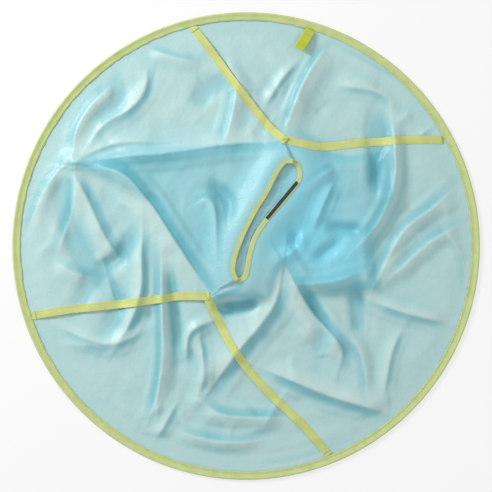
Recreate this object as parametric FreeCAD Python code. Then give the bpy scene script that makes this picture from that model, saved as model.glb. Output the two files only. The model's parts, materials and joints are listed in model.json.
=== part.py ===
import FreeCAD, Part
import math
import os

from FreeCAD import Vector

# Pop-up cape: a spring-wire hoop holds a round sheet of light taffeta flat. The sheet is a front and a
# back panel joined by two short shoulder seams, with a long neck slot between them, and two side
# panels that run under them, so that an arm comes out through each lap. Millimetres, +Z up, floor at
# z = 0, origin at the hoop's centre, +X along the neck slot, +Y towards the back panel.

# ---- driving dimensions ------------------------------------------------------------------------
OUTER_RADIUS = 425.0         # outside of the rim binding
RIM_HEIGHT = 4.6             # rim binding over the wire
RIM_BINDING_WIDTH = 15.0     # rim binding, from its inner edge to the outside
RIM_POCKET_DEPTH = 9.5       # how far the cloth reaches into the rim binding
WIRE_RADIUS = 1.0            # spring-steel wire
FERRULE_WALL = 0.5           # crimped tube over the wire's two ends
FERRULE_LENGTH = 24.0
SLEEVE_WALL = 0.3            # shrunk sleeve over the ferrule
SLEEVE_LENGTH = 40.0
WIRE_END_GAP = 1.0
WIRE_JOINT_ANGLE = -100.0    # degrees round the hoop

CLOTH = 0.5                  # one layer of panel cloth
TAPE = 0.6                   # one leg of binding tape
THREAD = 0.2                 # stitches stand this far out of the cloth
THREAD_WIDTH = 0.8
RIM_STITCHES = 144           # stitches round the rim
RIM_STITCH_LENGTH = 12.0
RIM_STITCH_INSET = 2.5       # from the rim binding's inner edge

NECK_HEIGHT = 40.0           # front neck edge above the floor
PLATEAU_RADIUS = 215.0       # the sheet is level inside this radius
MAIN_LIFT_OFF = 1.5          # front and back panels rise this far inside the rim binding
SIDE_LIFT_OFF = 10.5         # side panels rise this far inside it
SIDE_LAP = 32.0              # side panels reach this far under the main panels
SIDE_DROP = 1.5              # side panels lie this far below the front panel

ARM_TAPE_WIDTH = 15.0
ARM_TAPE_STOP = 6.5          # arm bindings stop this far short of the rim binding
NECK_TAPE_WIDTH = 9.0
NECK_CLEARANCE = 0.3         # between the neck bindings and the cloth edge in them
SEAM_WIDTH = 8.0

STRIP_WIDTH = 6.0            # hook strip and loop strip
STRIP_THICKNESS = 1.2
STRIP_CLEARANCE = 0.4        # loop strip over the hook strip while the lip swings
CLOSING_ANGLE = 11.5         # degrees that the lip swings to close the neck

WEBBING = 0.9                # one layer of the packing loop
LOOP_WIDTH = 19.0
LOOP_LENGTH = 42.0
LOOP_TILT = 12.0             # degrees, up the slope of the cloth
LOOP_TURN = -5.6             # degrees about +Z
PIVOT_CLEARANCE = 0.4
TACK_LENGTH = 14.0
TACK_WIDTH = 3.0
TACK_HEIGHT = 0.5

# ---- outlines, hand-chosen ---------------------------------------------------------------------
RIGHT_TIP = (203, 19)
RIGHT_BACK_LEG = (RIGHT_TIP, (259, 145), (334, 283))
RIGHT_FRONT_LEG = (RIGHT_TIP, (221, -49), (263, -120), (345, -286))
LEFT_TIP = (-112, 26)
LEFT_BACK_LEG = (LEFT_TIP, (-136, 75), (-205, 183), (-295, 321))
LEFT_FRONT_LEG = (LEFT_TIP, (-172, -49), (-204, -104), (-292, -322))
SLOT_LEFT = (-62, -9)
SLOT_RIGHT = (173, -10)
SLOT_MIDDLE_LINE = [(-20, -1), (30, 2), (90, -9), (150, -14)]
NECK_BACK_LINE = [(-54, 0), (-43, 6), (-23, 11), (-2, 13), (24, 14), (52, 13), (76, 11), (100, 8),
                  (129, 7), (154, 5), (168, 0)]
NECK_FRONT_LINE = [(172, -21), (161, -32), (144, -36), (121, -31), (98, -25), (75, -18), (55, -13),
                   (31, -9), (10, -9), (-12, -13), (-31, -18), (-46, -22), (-57, -19)]
HOOK_STRIP_LINE = [(60, -13), (143, -35)]
LOOP_ANGLE = 8.43            # where the packing loop is sewn, round from +X
LOOP_INSET = 0.6             # its fold line, inside the rim binding's inner edge
FAR = 700.0

# ---- heights that follow -----------------------------------------------------------------------
RIM_TUBE_RADIUS = RIM_HEIGHT / 2
WIRE_RING_RADIUS = OUTER_RADIUS - RIM_TUBE_RADIUS
RIM_INNER_RADIUS = OUTER_RADIUS - RIM_BINDING_WIDTH
LOOP_PIVOT = ((RIM_INNER_RADIUS - LOOP_INSET) * math.cos(math.radians(LOOP_ANGLE)),
              (RIM_INNER_RADIUS - LOOP_INSET) * math.sin(math.radians(LOOP_ANGLE)))
CLOTH_EDGE_RADIUS = RIM_INNER_RADIUS + RIM_POCKET_DEPTH
RIM_LEG = 0.5                                  # rim tape under and over the cloth edge
POCKET_TOP = RIM_LEG + 2 * CLOTH
RIM_TOP = POCKET_TOP + TAPE
NECK_TOP = CLOTH + NECK_CLEARANCE + TAPE       # neck binding's top above the cloth's underside
LIP_RISE = (NECK_TOP + STRIP_THICKNESS + THREAD + STRIP_CLEARANCE
            + STRIP_THICKNESS + TAPE + NECK_CLEARANCE)

# Each family of cloth: height of its underside at the rim and on the plateau, and where it lifts off.
MAIN_FLAT_RADIUS = RIM_INNER_RADIUS - MAIN_LIFT_OFF
FRONT = (RIM_LEG + CLOTH, NECK_HEIGHT, MAIN_FLAT_RADIUS)
BACK = (RIM_LEG + CLOTH, NECK_HEIGHT + LIP_RISE, MAIN_FLAT_RADIUS)
SIDE = (RIM_LEG, NECK_HEIGHT - SIDE_DROP, RIM_INNER_RADIUS - SIDE_LIFT_OFF)

os.makedirs("parts", exist_ok=True)


# ---- plan shapes -------------------------------------------------------------------------------
def polygon(points):
    corners = [Vector(x, y, 0) for x, y in points]
    return Part.Face(Part.makePolygon(corners + corners[:1]))


def disc(radius):
    return Part.Face(Part.Wire(Part.makeCircle(radius)))


def offset(face, distance):
    """A face grown or shrunk all round, with sharp corners kept sharp."""
    return face.makeOffset2D(distance, 2)


def wedge(back_leg, front_leg):
    """The side panel's visible area between its two tapes, closed far outside the hoop."""
    outside = [beyond(back_leg[-1], back_leg[-2]), beyond(front_leg[-1], front_leg[-2])]
    middle_of_tapes = polygon(list(back_leg) + outside + list(front_leg[:0:-1]))
    return offset(middle_of_tapes, -ARM_TAPE_WIDTH / 2)


def strip(start, end, width):
    """A straight strip of the given width along a line."""
    along = Vector(end[0] - start[0], end[1] - start[1], 0).normalize()
    side = Vector(-along.y, along.x, 0) * (width / 2)
    a = Vector(start[0], start[1], 0)
    b = Vector(end[0], end[1], 0)
    return Part.Face(Part.makePolygon([a - side, b - side, b + side, a + side, a - side]))


def ring_zone(face, inner, outer):
    """What lies between two offsets of a face's edge."""
    return offset(face, outer).cut(offset(face, inner) if inner else face)


def beyond(tip, start, distance=FAR):
    """A point far out on the line from start through tip."""
    way = Vector(tip[0] - start[0], tip[1] - start[1], 0).normalize() * distance
    return (tip[0] + way.x, tip[1] + way.y)


# ---- solids ------------------------------------------------------------------------------------
def level(face, low, high):
    """A flat solid over a plan shape."""
    return face.translated(Vector(0, 0, low)).extrude(Vector(0, 0, high - low))


def layer(face, family, low, high):
    """A sheet over a plan shape, between two heights above the family's underside."""
    rim, neck, flat = family
    profile = [(0, neck + low), (PLATEAU_RADIUS, neck + low), (flat, rim + low),
               (CLOTH_EDGE_RADIUS, rim + low), (CLOTH_EDGE_RADIUS, rim + high), (flat, rim + high),
               (PLATEAU_RADIUS, neck + high), (0, neck + high)]
    corners = [Vector(r, 0, z) for r, z in profile]
    band = Part.Face(Part.makePolygon(corners + corners[:1])).revolve(Vector(), Vector(0, 0, 1), 360)
    top = NECK_HEIGHT + LIP_RISE + 20
    return band.common(level(face, -1, top))


def around_wire(radius, length):
    """A rod bent to the hoop, centred on the wire's joint."""
    circle = Part.makeCircle(radius, Vector(WIRE_RING_RADIUS, 0, RIM_TUBE_RADIUS), Vector(0, 1, 0))
    angle = math.degrees(length / WIRE_RING_RADIUS)
    rod = Part.Face(Part.Wire(circle)).revolve(Vector(), Vector(0, 0, 1), angle)
    rod.rotate(Vector(), Vector(0, 0, 1), WIRE_JOINT_ANGLE - angle / 2)
    return rod


def wire_torus():
    return Part.makeTorus(WIRE_RING_RADIUS, WIRE_RADIUS, Vector(0, 0, RIM_TUBE_RADIUS))


def turned(shape, centre, angle):
    copy = shape.copy()
    copy.rotate(Vector(centre[0], centre[1], 0), Vector(0, 0, 1), angle)
    return copy


def export(name, shape):
    solids = shape.Solids
    body = solids[0] if len(solids) == 1 else Part.makeCompound(solids)
    if not solids or not body.isValid():
        raise ValueError("bad shape: " + name)
    body.exportStep("parts/" + name + ".step")
    print(name, len(solids), round(body.Volume, 1))


# ---- plan of the whole cape --------------------------------------------------------------------
right_wedge = wedge(RIGHT_BACK_LEG, RIGHT_FRONT_LEG)
left_wedge = wedge(LEFT_BACK_LEG, LEFT_FRONT_LEG)
neck_line = polygon([SLOT_LEFT] + NECK_BACK_LINE + [SLOT_RIGHT] + NECK_FRONT_LINE)
half_tape = NECK_TAPE_WIDTH / 2
slot = offset(neck_line, -half_tape)
neck_outer = offset(neck_line, half_tape)
cloth_slot = offset(slot, TAPE + NECK_CLEARANCE)

seam_path = [beyond(LEFT_TIP, SLOT_LEFT), SLOT_LEFT] + SLOT_MIDDLE_LINE
seam_path += [SLOT_RIGHT, beyond(RIGHT_TIP, SLOT_RIGHT)]
front_half = polygon(seam_path + [(FAR, -FAR), (-FAR, -FAR)])
back_half = polygon(seam_path + [(FAR, FAR * 1.2), (-FAR, FAR * 1.2)])
cloth_disc = disc(CLOTH_EDGE_RADIUS)
main_sheet = cloth_disc.cut(right_wedge).cut(left_wedge).cut(cloth_slot)

# ---- hoop and rim ------------------------------------------------------------------------------
export("hoop_wire", turned(around_wire(WIRE_RADIUS, 2 * math.pi * WIRE_RING_RADIUS - WIRE_END_GAP),
                           (0, 0), 180))
ferrule_rod = around_wire(WIRE_RADIUS + FERRULE_WALL, FERRULE_LENGTH)
sleeve_rod = around_wire(WIRE_RADIUS + FERRULE_WALL + SLEEVE_WALL, SLEEVE_LENGTH)
export("hoop_ferrule", ferrule_rod.cut(wire_torus()))
export("hoop_sleeve", sleeve_rod.cut(ferrule_rod).cut(wire_torus()))

tube_r = RIM_TUBE_RADIUS
leg_end = CLOTH_EDGE_RADIUS - 2.5
section = [Part.makeLine(Vector(RIM_INNER_RADIUS, 0, 0), Vector(WIRE_RING_RADIUS, 0, 0)),
           Part.Arc(Vector(WIRE_RING_RADIUS, 0, 0), Vector(OUTER_RADIUS, 0, tube_r),
                    Vector(WIRE_RING_RADIUS, 0, RIM_HEIGHT)).toShape()]
inner_path = [(WIRE_RING_RADIUS, RIM_HEIGHT), (leg_end, RIM_TOP), (RIM_INNER_RADIUS, RIM_TOP),
              (RIM_INNER_RADIUS, POCKET_TOP), (CLOTH_EDGE_RADIUS, POCKET_TOP),
              (CLOTH_EDGE_RADIUS, RIM_LEG), (RIM_INNER_RADIUS, RIM_LEG), (RIM_INNER_RADIUS, 0)]
section += Part.makePolygon([Vector(r, 0, z) for r, z in inner_path]).Edges
rim = Part.Face(Part.Wire(section)).revolve(Vector(), Vector(0, 0, 1), 360)
export("rim_binding", rim.cut(wire_torus()).cut(sleeve_rod))

stitch_radius = RIM_INNER_RADIUS + RIM_STITCH_INSET
stitches = []
for number in range(RIM_STITCHES):
    stitch = Part.makeBox(THREAD_WIDTH, RIM_STITCH_LENGTH, THREAD,
                          Vector(stitch_radius, -RIM_STITCH_LENGTH / 2, RIM_TOP))
    stitches.append(turned(stitch, (0, 0), number * 360 / RIM_STITCHES))
export("rim_stitching", Part.makeCompound(stitches))

# ---- panels ------------------------------------------------------------------------------------
export("front_panel", layer(main_sheet.common(front_half), FRONT, 0, CLOTH))
export("back_panel", layer(main_sheet.common(back_half), BACK, 0, CLOTH))
for name, shape in (("right", right_wedge), ("left", left_wedge)):
    lapped = offset(shape, SIDE_LAP).common(cloth_disc)
    export(name + "_side_panel", layer(lapped, SIDE, 0, CLOTH))

# ---- arm bindings, one along each side edge of the main panels ------------------------------------
tape_disc = disc(RIM_INNER_RADIUS - ARM_TAPE_STOP)
tack_ring = disc(MAIN_FLAT_RADIUS).cut(tape_disc)
arm_end_tacks = []
for side, shape in (("right", right_wedge), ("left", left_wedge)):
    on_cloth = ring_zone(shape, 0, ARM_TAPE_WIDTH)
    fold = shape.cut(offset(shape, -TAPE))
    stitch = ring_zone(shape, ARM_TAPE_WIDTH - 3, ARM_TAPE_WIDTH - 3 + THREAD_WIDTH)
    for half, half_face, family in (("front", front_half, FRONT), ("back", back_half, BACK)):
        area = half_face.common(tape_disc)
        top_leg = layer(on_cloth.common(area), family, CLOTH, CLOTH + TAPE)
        under_leg = layer(on_cloth.common(area), family, -TAPE, 0)
        edge = layer(fold.common(area), family, -TAPE, CLOTH + TAPE)
        export(side + "_arm_binding_" + half, top_leg.fuse([under_leg, edge]).removeSplitter())
        thread_area = stitch.common(area)
        export(side + "_arm_stitching_" + half,
               layer(thread_area, family, CLOTH + TAPE, CLOTH + TAPE + THREAD))
        tack = on_cloth.common(half_face).common(tack_ring)
        arm_end_tacks += layer(tack, family, CLOTH, CLOTH + TAPE).Solids
export("arm_end_tacks", Part.makeCompound(arm_end_tacks))

# ---- shoulder seams and the tacks at the arm openings' tips ----------------------------------------
for side, slot_end, tip, shape in (("right", SLOT_RIGHT, RIGHT_TIP, right_wedge),
                                   ("left", SLOT_LEFT, LEFT_TIP, left_wedge)):
    seam = strip(slot_end, tip, SEAM_WIDTH)
    seam = seam.cut(offset(neck_outer, 1)).cut(offset(shape, ARM_TAPE_WIDTH + 1))
    export(side + "_shoulder_seam", level(seam, NECK_HEIGHT + CLOTH, NECK_HEIGHT + LIP_RISE))
    inward = Vector(slot_end[0] - tip[0], slot_end[1] - tip[1], 0).normalize()
    centre = Vector(tip[0], tip[1], 0)
    across = Vector(-inward.y, inward.x, 0) * (TACK_LENGTH / 2)
    tack = strip(centre - across, centre + across, TACK_WIDTH)
    tack_low = NECK_HEIGHT + LIP_RISE + CLOTH + TAPE + THREAD
    export(side + "_tip_tack", level(tack, tack_low, tack_low + TACK_HEIGHT))

# ---- neck: fixed front binding with the hook strip, moving back lip with the loop strip -----------


def neck_binding(half_face, cloth_low):
    on_cloth = neck_outer.cut(slot).common(half_face)
    fold = offset(slot, TAPE).cut(slot).common(half_face)
    low = cloth_low - NECK_CLEARANCE - TAPE
    high = cloth_low + NECK_TOP
    legs = [level(on_cloth, low, low + TAPE), level(on_cloth, high - TAPE, high)]
    return level(fold, low, high).fuse(legs).removeSplitter()


def neck_thread(half_face, cloth_low):
    line = offset(slot, NECK_TAPE_WIDTH - 2)
    zone = offset(line, THREAD_WIDTH).cut(line).common(half_face)
    return level(zone, cloth_low + NECK_TOP, cloth_low + NECK_TOP + THREAD)


hook_strip = strip(*HOOK_STRIP_LINE, STRIP_WIDTH)
hook_thread = offset(hook_strip, -1).cut(offset(hook_strip, -1 - THREAD_WIDTH))
loop_strip = turned(hook_strip, SLOT_LEFT, CLOSING_ANGLE)
loop_thread = turned(hook_thread, SLOT_LEFT, CLOSING_ANGLE)
lip_cloth = NECK_HEIGHT + LIP_RISE
hook_low = NECK_HEIGHT + NECK_TOP
loop_high = lip_cloth - NECK_CLEARANCE - TAPE
lip_top = lip_cloth + NECK_TOP

export("neck_binding", neck_binding(front_half, NECK_HEIGHT))
export("neck_stitching", neck_thread(front_half.cut(hook_strip), NECK_HEIGHT))
export("hook_strip", level(hook_strip, hook_low, hook_low + STRIP_THICKNESS))
export("hook_strip_stitching",
       level(hook_thread, hook_low + STRIP_THICKNESS, hook_low + STRIP_THICKNESS + THREAD))
export("lip_binding", neck_binding(back_half, lip_cloth))
export("lip_stitching", neck_thread(back_half.cut(loop_strip), lip_cloth))
export("loop_strip", level(loop_strip, loop_high - STRIP_THICKNESS, loop_high))
export("loop_strip_stitching", level(loop_thread.common(neck_outer.cut(slot)), lip_top,
                                     lip_top + THREAD))

# ---- packing loop: folded webbing that swings on its anchor at the rim ----------------------------
pivot_radius = WEBBING + 0.3
pivot_z = RIM_TOP + TAPE + PIVOT_CLEARANCE + pivot_radius
path = [(0, pivot_radius), (-LOOP_LENGTH, pivot_radius), (-LOOP_LENGTH, -pivot_radius),
        (0, -pivot_radius)]
outer = Part.Face(Part.makePolygon([Vector(x, -LOOP_WIDTH / 2, z) for x, z in path + path[:1]]))
webbing = outer.extrude(Vector(0, LOOP_WIDTH, 0))
webbing = webbing.fuse(Part.makeCylinder(pivot_radius, LOOP_WIDTH, Vector(0, -LOOP_WIDTH / 2, 0),
                                         Vector(0, 1, 0))).removeSplitter()
eye = Part.makeBox(LOOP_LENGTH - 16, LOOP_WIDTH + 2, 2 * (pivot_radius - WEBBING),
                   Vector(-LOOP_LENGTH + WEBBING, -LOOP_WIDTH / 2 - 1, WEBBING - pivot_radius))
loop_tack = Part.makeBox(TACK_WIDTH, TACK_LENGTH, TACK_HEIGHT,
                         Vector(-12, -TACK_LENGTH / 2, pivot_radius))


def at_pivot(shape, tilt):
    shape.rotate(Vector(), Vector(0, 1, 0), tilt)
    shape.rotate(Vector(), Vector(0, 0, 1), LOOP_TURN)
    shape.translate(Vector(LOOP_PIVOT[0], LOOP_PIVOT[1], pivot_z))
    return shape


export("packing_loop", at_pivot(webbing.cut(eye), LOOP_TILT))
export("packing_loop_tack", at_pivot(loop_tack, LOOP_TILT))
turn = math.radians(LOOP_TURN)
outward = (LOOP_PIVOT[0] + LOOP_LENGTH * math.cos(turn), LOOP_PIVOT[1] + LOOP_LENGTH * math.sin(turn))
sewn_area = disc(stitch_radius - PIVOT_CLEARANCE).cut(disc(RIM_INNER_RADIUS))
anchor = sewn_area.common(strip(LOOP_PIVOT, outward, LOOP_WIDTH))
export("packing_loop_anchor", level(anchor, RIM_TOP, RIM_TOP + TAPE))
print("packing loop pivot", LOOP_PIVOT, "height", round(pivot_z, 3))
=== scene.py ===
# %% [markdown]
# # A pop-up cape, lying open
#
# The object is a round sheet of thin taffeta held open by a hoop of spring wire. A bound slot in its middle
# is for the neck. Two bound edges run out from near each end of the slot in a V, and a side panel passes
# under them, so that each V is an opening for an arm. The construction comes packed as a fixed frame, with
# its pieces, bodies and joints. Everything below is laid over that frame in metres.

# %% Load the frame
import json
import math
import random

import bmesh
import bpy
import numpy as np
from mathutils import Matrix, Vector, noise

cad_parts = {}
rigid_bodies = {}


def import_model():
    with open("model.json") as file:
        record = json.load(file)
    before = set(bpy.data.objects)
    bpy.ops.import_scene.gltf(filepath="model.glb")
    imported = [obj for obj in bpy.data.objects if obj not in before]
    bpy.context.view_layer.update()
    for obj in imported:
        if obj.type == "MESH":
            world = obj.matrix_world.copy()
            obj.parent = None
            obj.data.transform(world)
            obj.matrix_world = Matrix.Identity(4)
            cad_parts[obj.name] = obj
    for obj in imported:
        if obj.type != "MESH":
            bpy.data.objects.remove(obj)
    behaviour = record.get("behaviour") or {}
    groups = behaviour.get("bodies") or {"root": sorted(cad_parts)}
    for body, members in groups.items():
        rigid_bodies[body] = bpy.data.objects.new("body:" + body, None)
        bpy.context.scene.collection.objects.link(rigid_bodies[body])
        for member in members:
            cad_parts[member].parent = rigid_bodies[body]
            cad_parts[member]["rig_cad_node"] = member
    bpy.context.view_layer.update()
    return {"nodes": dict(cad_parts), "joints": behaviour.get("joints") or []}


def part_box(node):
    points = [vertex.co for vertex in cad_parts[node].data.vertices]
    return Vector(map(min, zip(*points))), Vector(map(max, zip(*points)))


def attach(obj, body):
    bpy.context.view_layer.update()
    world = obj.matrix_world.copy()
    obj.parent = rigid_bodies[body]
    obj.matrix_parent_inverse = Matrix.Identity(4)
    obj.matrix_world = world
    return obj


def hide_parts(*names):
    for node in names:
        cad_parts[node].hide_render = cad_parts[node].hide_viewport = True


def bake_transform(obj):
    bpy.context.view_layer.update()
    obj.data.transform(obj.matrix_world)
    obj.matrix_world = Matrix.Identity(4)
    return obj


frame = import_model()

# %% [markdown]
# ## Sizes
#
# Lengths that the frame fixes are read from it, so the cloth always fits the hoop and the neck. Lengths that
# only the looks need, such as a stitch or a thread, are given in millimetres and turned into metres here.

# %% Sizes from the frame and from the sewing
MM = 0.001
HOOP_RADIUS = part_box("rim_binding")[1].x
RIM_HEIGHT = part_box("rim_binding")[1].z
NECK_LEVEL = sum(corner.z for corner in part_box("neck_binding")) / 2
LIP_LEVEL = sum(corner.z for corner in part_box("lip_binding")) / 2
LIP_RISE = LIP_LEVEL - NECK_LEVEL
RIM_TAPE = 15 * MM
ARM_TAPE = 15 * MM
NECK_TAPE = 9 * MM
TAPE_THICKNESS = 0.35 * MM
TAPE_GAP = 0.6 * MM
CLOTH_THICKNESS = 0.25 * MM
CLOTH_RADIUS = HOOP_RADIUS - 8 * MM
RIM_INNER = HOOP_RADIUS - RIM_TAPE
RIM_CLOTH = 1.45 * MM
GRID = 2.5 * MM
print("hoop radius", round(HOOP_RADIUS, 4), "neck level", round(NECK_LEVEL, 4))

# %% [markdown]
# ## The camera, the light and the floor
#
# The cape is seen from straight above, turned so that the neck slot leans to the right. The lens is long and
# far away, which keeps the hoop a true circle. One large soft lamp stands low at one side, because folds in
# a pale cloth show only when the light crosses them, and an even world fills the rest.

# %% Camera
FRAME_WIDTH = 0.8948
CAMERA_HEIGHT = 3.2
TURN = math.radians(65)

camera_data = bpy.data.cameras.new("camera")
camera_data.sensor_width = 36
camera_data.lens = camera_data.sensor_width * CAMERA_HEIGHT / FRAME_WIDTH
camera = bpy.data.objects.new("camera", camera_data)
bpy.context.collection.objects.link(camera)
camera.location = (0, 0, CAMERA_HEIGHT)
camera.rotation_euler = (0, 0, -TURN)
bpy.context.scene.camera = camera
right = Vector((math.cos(TURN), -math.sin(TURN), 0))
up = Vector((math.sin(TURN), math.cos(TURN), 0))
print("camera up the page:", [round(v, 2) for v in up])

# %% Colours and node helpers
def linear(hex_colour):
    """An sRGB hex colour as linear red, green, blue and alpha."""
    values = [int(hex_colour[i:i + 2], 16) / 255 for i in (1, 3, 5)]
    return tuple(v / 12.92 if v <= 0.04045 else ((v + 0.055) / 1.055) ** 2.4 for v in values) + (1.0,)


def add(tree, kind, settings=None, **links):
    """Adds a node, sets its settings and sockets, and links other sockets into it."""
    node = tree.nodes.new(kind)

    def socket(name):
        if isinstance(name, int):
            return node.inputs[name]
        if name[1:].isdigit():
            return node.inputs[int(name[1:])]
        return next((s for s in node.inputs if s.name == name.replace("_", " ") and s.enabled), None)

    for key, value in (settings or {}).items():
        if key == "stops":
            elements = node.color_ramp.elements
            while len(elements) < len(value):
                elements.new(0.5)
            for element, (position, colour) in zip(elements, value):
                element.position, element.color = position, linear(colour)
        elif isinstance(key, int) or not hasattr(node, key):
            socket(key).default_value = value
        else:
            setattr(node, key, value)
    for key, source in links.items():
        tree.links.new(source, socket(key))
    return node


def new_material(name):
    material = bpy.data.materials.new(name)
    material.use_nodes = True
    material.node_tree.nodes.clear()
    return material, material.node_tree

# %% Light and floor
def area_lamp(name, place, size, power):
    data = bpy.data.lights.new(name, "AREA")
    data.shape = "DISK"
    data.size = size
    data.energy = power
    lamp = bpy.data.objects.new(name, data)
    bpy.context.collection.objects.link(lamp)
    lamp.location = place
    lamp.rotation_euler = (-Vector(place)).to_track_quat("-Z", "Y").to_euler()
    return lamp


area_lamp("key_lamp", -right * 2.2 + up * 1.6 + Vector((0, 0, 1.45)), 0.8, 64)
area_lamp("fill_lamp", right * 1.3 - up * 0.5 + Vector((0, 0, 1.9)), 1.6, 4)

world = bpy.data.worlds.new("studio")
world.use_nodes = True
bpy.context.scene.world = world
tree = world.node_tree
tree.nodes.clear()
paths = add(tree, "ShaderNodeLightPath")
shown = add(tree, "ShaderNodeMath", {"operation": "MAXIMUM"},
            _0=paths.outputs["Is Camera Ray"], _1=paths.outputs["Is Glossy Ray"])
shown = add(tree, "ShaderNodeMath", {"operation": "MAXIMUM"},
            _0=shown.outputs[0], _1=paths.outputs["Is Transmission Ray"])
soft = add(tree, "ShaderNodeBackground", {"Color": linear("#FFFFFF"), "Strength": 0.60})
white = add(tree, "ShaderNodeBackground", {"Color": linear("#FFFFFF"), "Strength": 1.0})
mix = add(tree, "ShaderNodeMixShader", _0=shown.outputs[0], _1=soft.outputs[0], _2=white.outputs[0])
add(tree, "ShaderNodeOutputWorld", Surface=mix.outputs[0])
bpy.context.scene.view_settings.view_transform = "Standard"

floor_material, tree = new_material("matt_studio_floor")
paths = add(tree, "ShaderNodeLightPath")
shown = add(tree, "ShaderNodeMath", {"operation": "MAXIMUM"},
            _0=paths.outputs["Is Camera Ray"], _1=paths.outputs["Is Glossy Ray"])
shown = add(tree, "ShaderNodeMath", {"operation": "MULTIPLY", 1: 0.6}, _0=shown.outputs[0])
paint = add(tree, "ShaderNodeBsdfDiffuse", {"Color": linear("#F4F4F4")})
glow = add(tree, "ShaderNodeEmission", {"Color": linear("#FFFFFF"), "Strength": 1.0})
mix = add(tree, "ShaderNodeMixShader", _0=shown.outputs[0], _1=paint.outputs[0], _2=glow.outputs[0])
add(tree, "ShaderNodeOutputMaterial", Surface=mix.outputs[0])

bm = bmesh.new()
bmesh.ops.create_grid(bm, x_segments=1, y_segments=1, size=12)
bmesh.ops.translate(bm, verts=bm.verts, vec=(0, 0, -0.5 * MM))
floor_mesh = bpy.data.meshes.new("floor")
bm.to_mesh(floor_mesh)
bm.free()
floor = bpy.data.objects.new("floor", floor_mesh)
floor_mesh.materials.append(floor_material)
bpy.context.collection.objects.link(floor)
print("lamps and floor ready")

# %% [markdown]
# ## The sewing pattern
#
# Every panel and tape follows a few lines on the plan: the arm openings' bound edges, the neck slot and the
# shoulder seams. The points are those of the frame's own pattern, in millimetres, and a smooth curve runs
# through them. Cloth is then cut against these lines, so that no panel needs its own outline.

# %% Lines of the pattern
RIGHT_TIP = (203, 19)
LEFT_TIP = (-112, 26)
ARM_LINES = {
    ("right", "back"): [RIGHT_TIP, (216, 59), (259, 145), (290, 200), (334, 283)],
    ("right", "front"): [RIGHT_TIP, (210, -11), (221, -49), (263, -120), (309, -206), (345, -286)],
    ("left", "back"): [LEFT_TIP, (-136, 75), (-166, 121), (-205, 183), (-243, 246), (-295, 321)],
    ("left", "front"): [LEFT_TIP, (-139, -6), (-172, -49), (-204, -104), (-230, -169), (-251, -232),
                        (-292, -322)],
}
SLOT_LEFT = (-62, -9)
SLOT_RIGHT = (173, -10)
NECK_BACK = [(-54, 0), (-43, 6), (-23, 11), (-2, 13), (24, 14), (52, 13), (76, 11), (100, 8), (129, 7),
             (154, 5), (168, 0)]
NECK_FRONT = [(172, -21), (161, -32), (144, -36), (121, -31), (98, -25), (75, -18), (55, -13), (31, -9),
              (10, -9), (-12, -13), (-31, -18), (-46, -22), (-57, -19)]
SLOT_MIDDLE = [(-20, -1), (30, 2), (90, -9), (150, -14)]
HOOK_LINE = [(60, -13), (143, -35)]
# well outside the hoop, for outlines that run on past it
FAR = 700

# %% [markdown]
# A curve is rounded through its few points, so that a tape bends as cloth does. The other helpers find how
# far a place is from a line and whether it lies inside an outline, which is all that cutting cloth needs.

# %% Curves, distances and outlines
def curve_through(points, step=4 * MM, closed=False):
    """A smooth plan curve through points in millimetres, as metres."""
    p = np.array(points, float) * MM
    if closed:
        p = np.vstack([p[-1:], p, p[:2]])
    else:
        p = np.vstack([2 * p[:1] - p[1:2], p, 2 * p[-1:] - p[-2:-1]])
    pieces = []
    for a, b, c, d in zip(p[:-3], p[1:-2], p[2:-1], p[3:]):
        t = np.linspace(0, 1, max(2, int(np.hypot(*(c - b)) / step)), endpoint=False)[:, None]
        pieces.append(0.5 * (2 * b + (c - a) * t + (2 * a - 5 * b + 4 * c - d) * t ** 2
                             + (3 * b - a - 3 * c + d) * t ** 3))
    return np.vstack(pieces + [p[-2:-1]])


def near(points, line):
    """For each plan point: distance to a line, side of it (+1 is left) and share of the way along."""
    distance = np.full(len(points), np.inf)
    side = np.ones(len(points))
    along = np.zeros(len(points))
    run = 0.0
    for a, b in zip(line[:-1], line[1:]):
        way = b - a
        length = np.hypot(*way)
        if length < 1e-9:
            continue
        t = np.clip(((points - a) @ way) / length ** 2, 0, 1)
        off = points - a - t[:, None] * way
        gap = np.hypot(off[:, 0], off[:, 1])
        closer = gap < distance
        distance[closer] = gap[closer]
        side[closer] = np.where(way[0] * off[closer, 1] - way[1] * off[closer, 0] >= 0, 1.0, -1.0)
        along[closer] = run + t[closer] * length
        run += length
    return distance, side, along / run


def within(points, outline):
    """Which plan points lie inside a closed outline."""
    inside = np.zeros(len(points), bool)
    x, y = points[:, 0], points[:, 1]
    for (ax, ay), (bx, by) in zip(outline, np.roll(outline, -1, axis=0)):
        crosses = (ay > y) != (by > y)
        if crosses.any():
            inside ^= crosses & (x < (bx - ax) * (y - ay) / ((by - ay) or 1e-12) + ax)
    return inside


def smooth(t):
    """An ease from 0 to 1."""
    t = np.clip(t, 0, 1)
    return t * t * (3 - 2 * t)

# %% [markdown]
# The same few points give the arm openings, the slot and the seam line, which cut the cloth into panels.

# %% Cutting lines
arm_lines = {key: curve_through(points) for key, points in ARM_LINES.items()}
slot_line = curve_through([SLOT_LEFT] + NECK_BACK + [SLOT_RIGHT] + NECK_FRONT, closed=True)
lip_line = curve_through([SLOT_LEFT] + NECK_BACK + [SLOT_RIGHT])
front_neck_line = curve_through([SLOT_RIGHT] + NECK_FRONT + [SLOT_LEFT])


def wedge_outline(side):
    back, front = arm_lines[side, "back"], arm_lines[side, "front"]
    far_x = math.copysign(FAR * MM, back[-1][0])
    return np.vstack([back, [(far_x, back[-1][1]), (far_x, front[-1][1])], front[::-1]])


wedges = {side: wedge_outline(side) for side in ("right", "left")}


def beyond(tip, start):
    way = np.array(tip, float) - np.array(start, float)
    return tuple(np.array(tip) + way / np.hypot(*way) * FAR)


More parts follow.
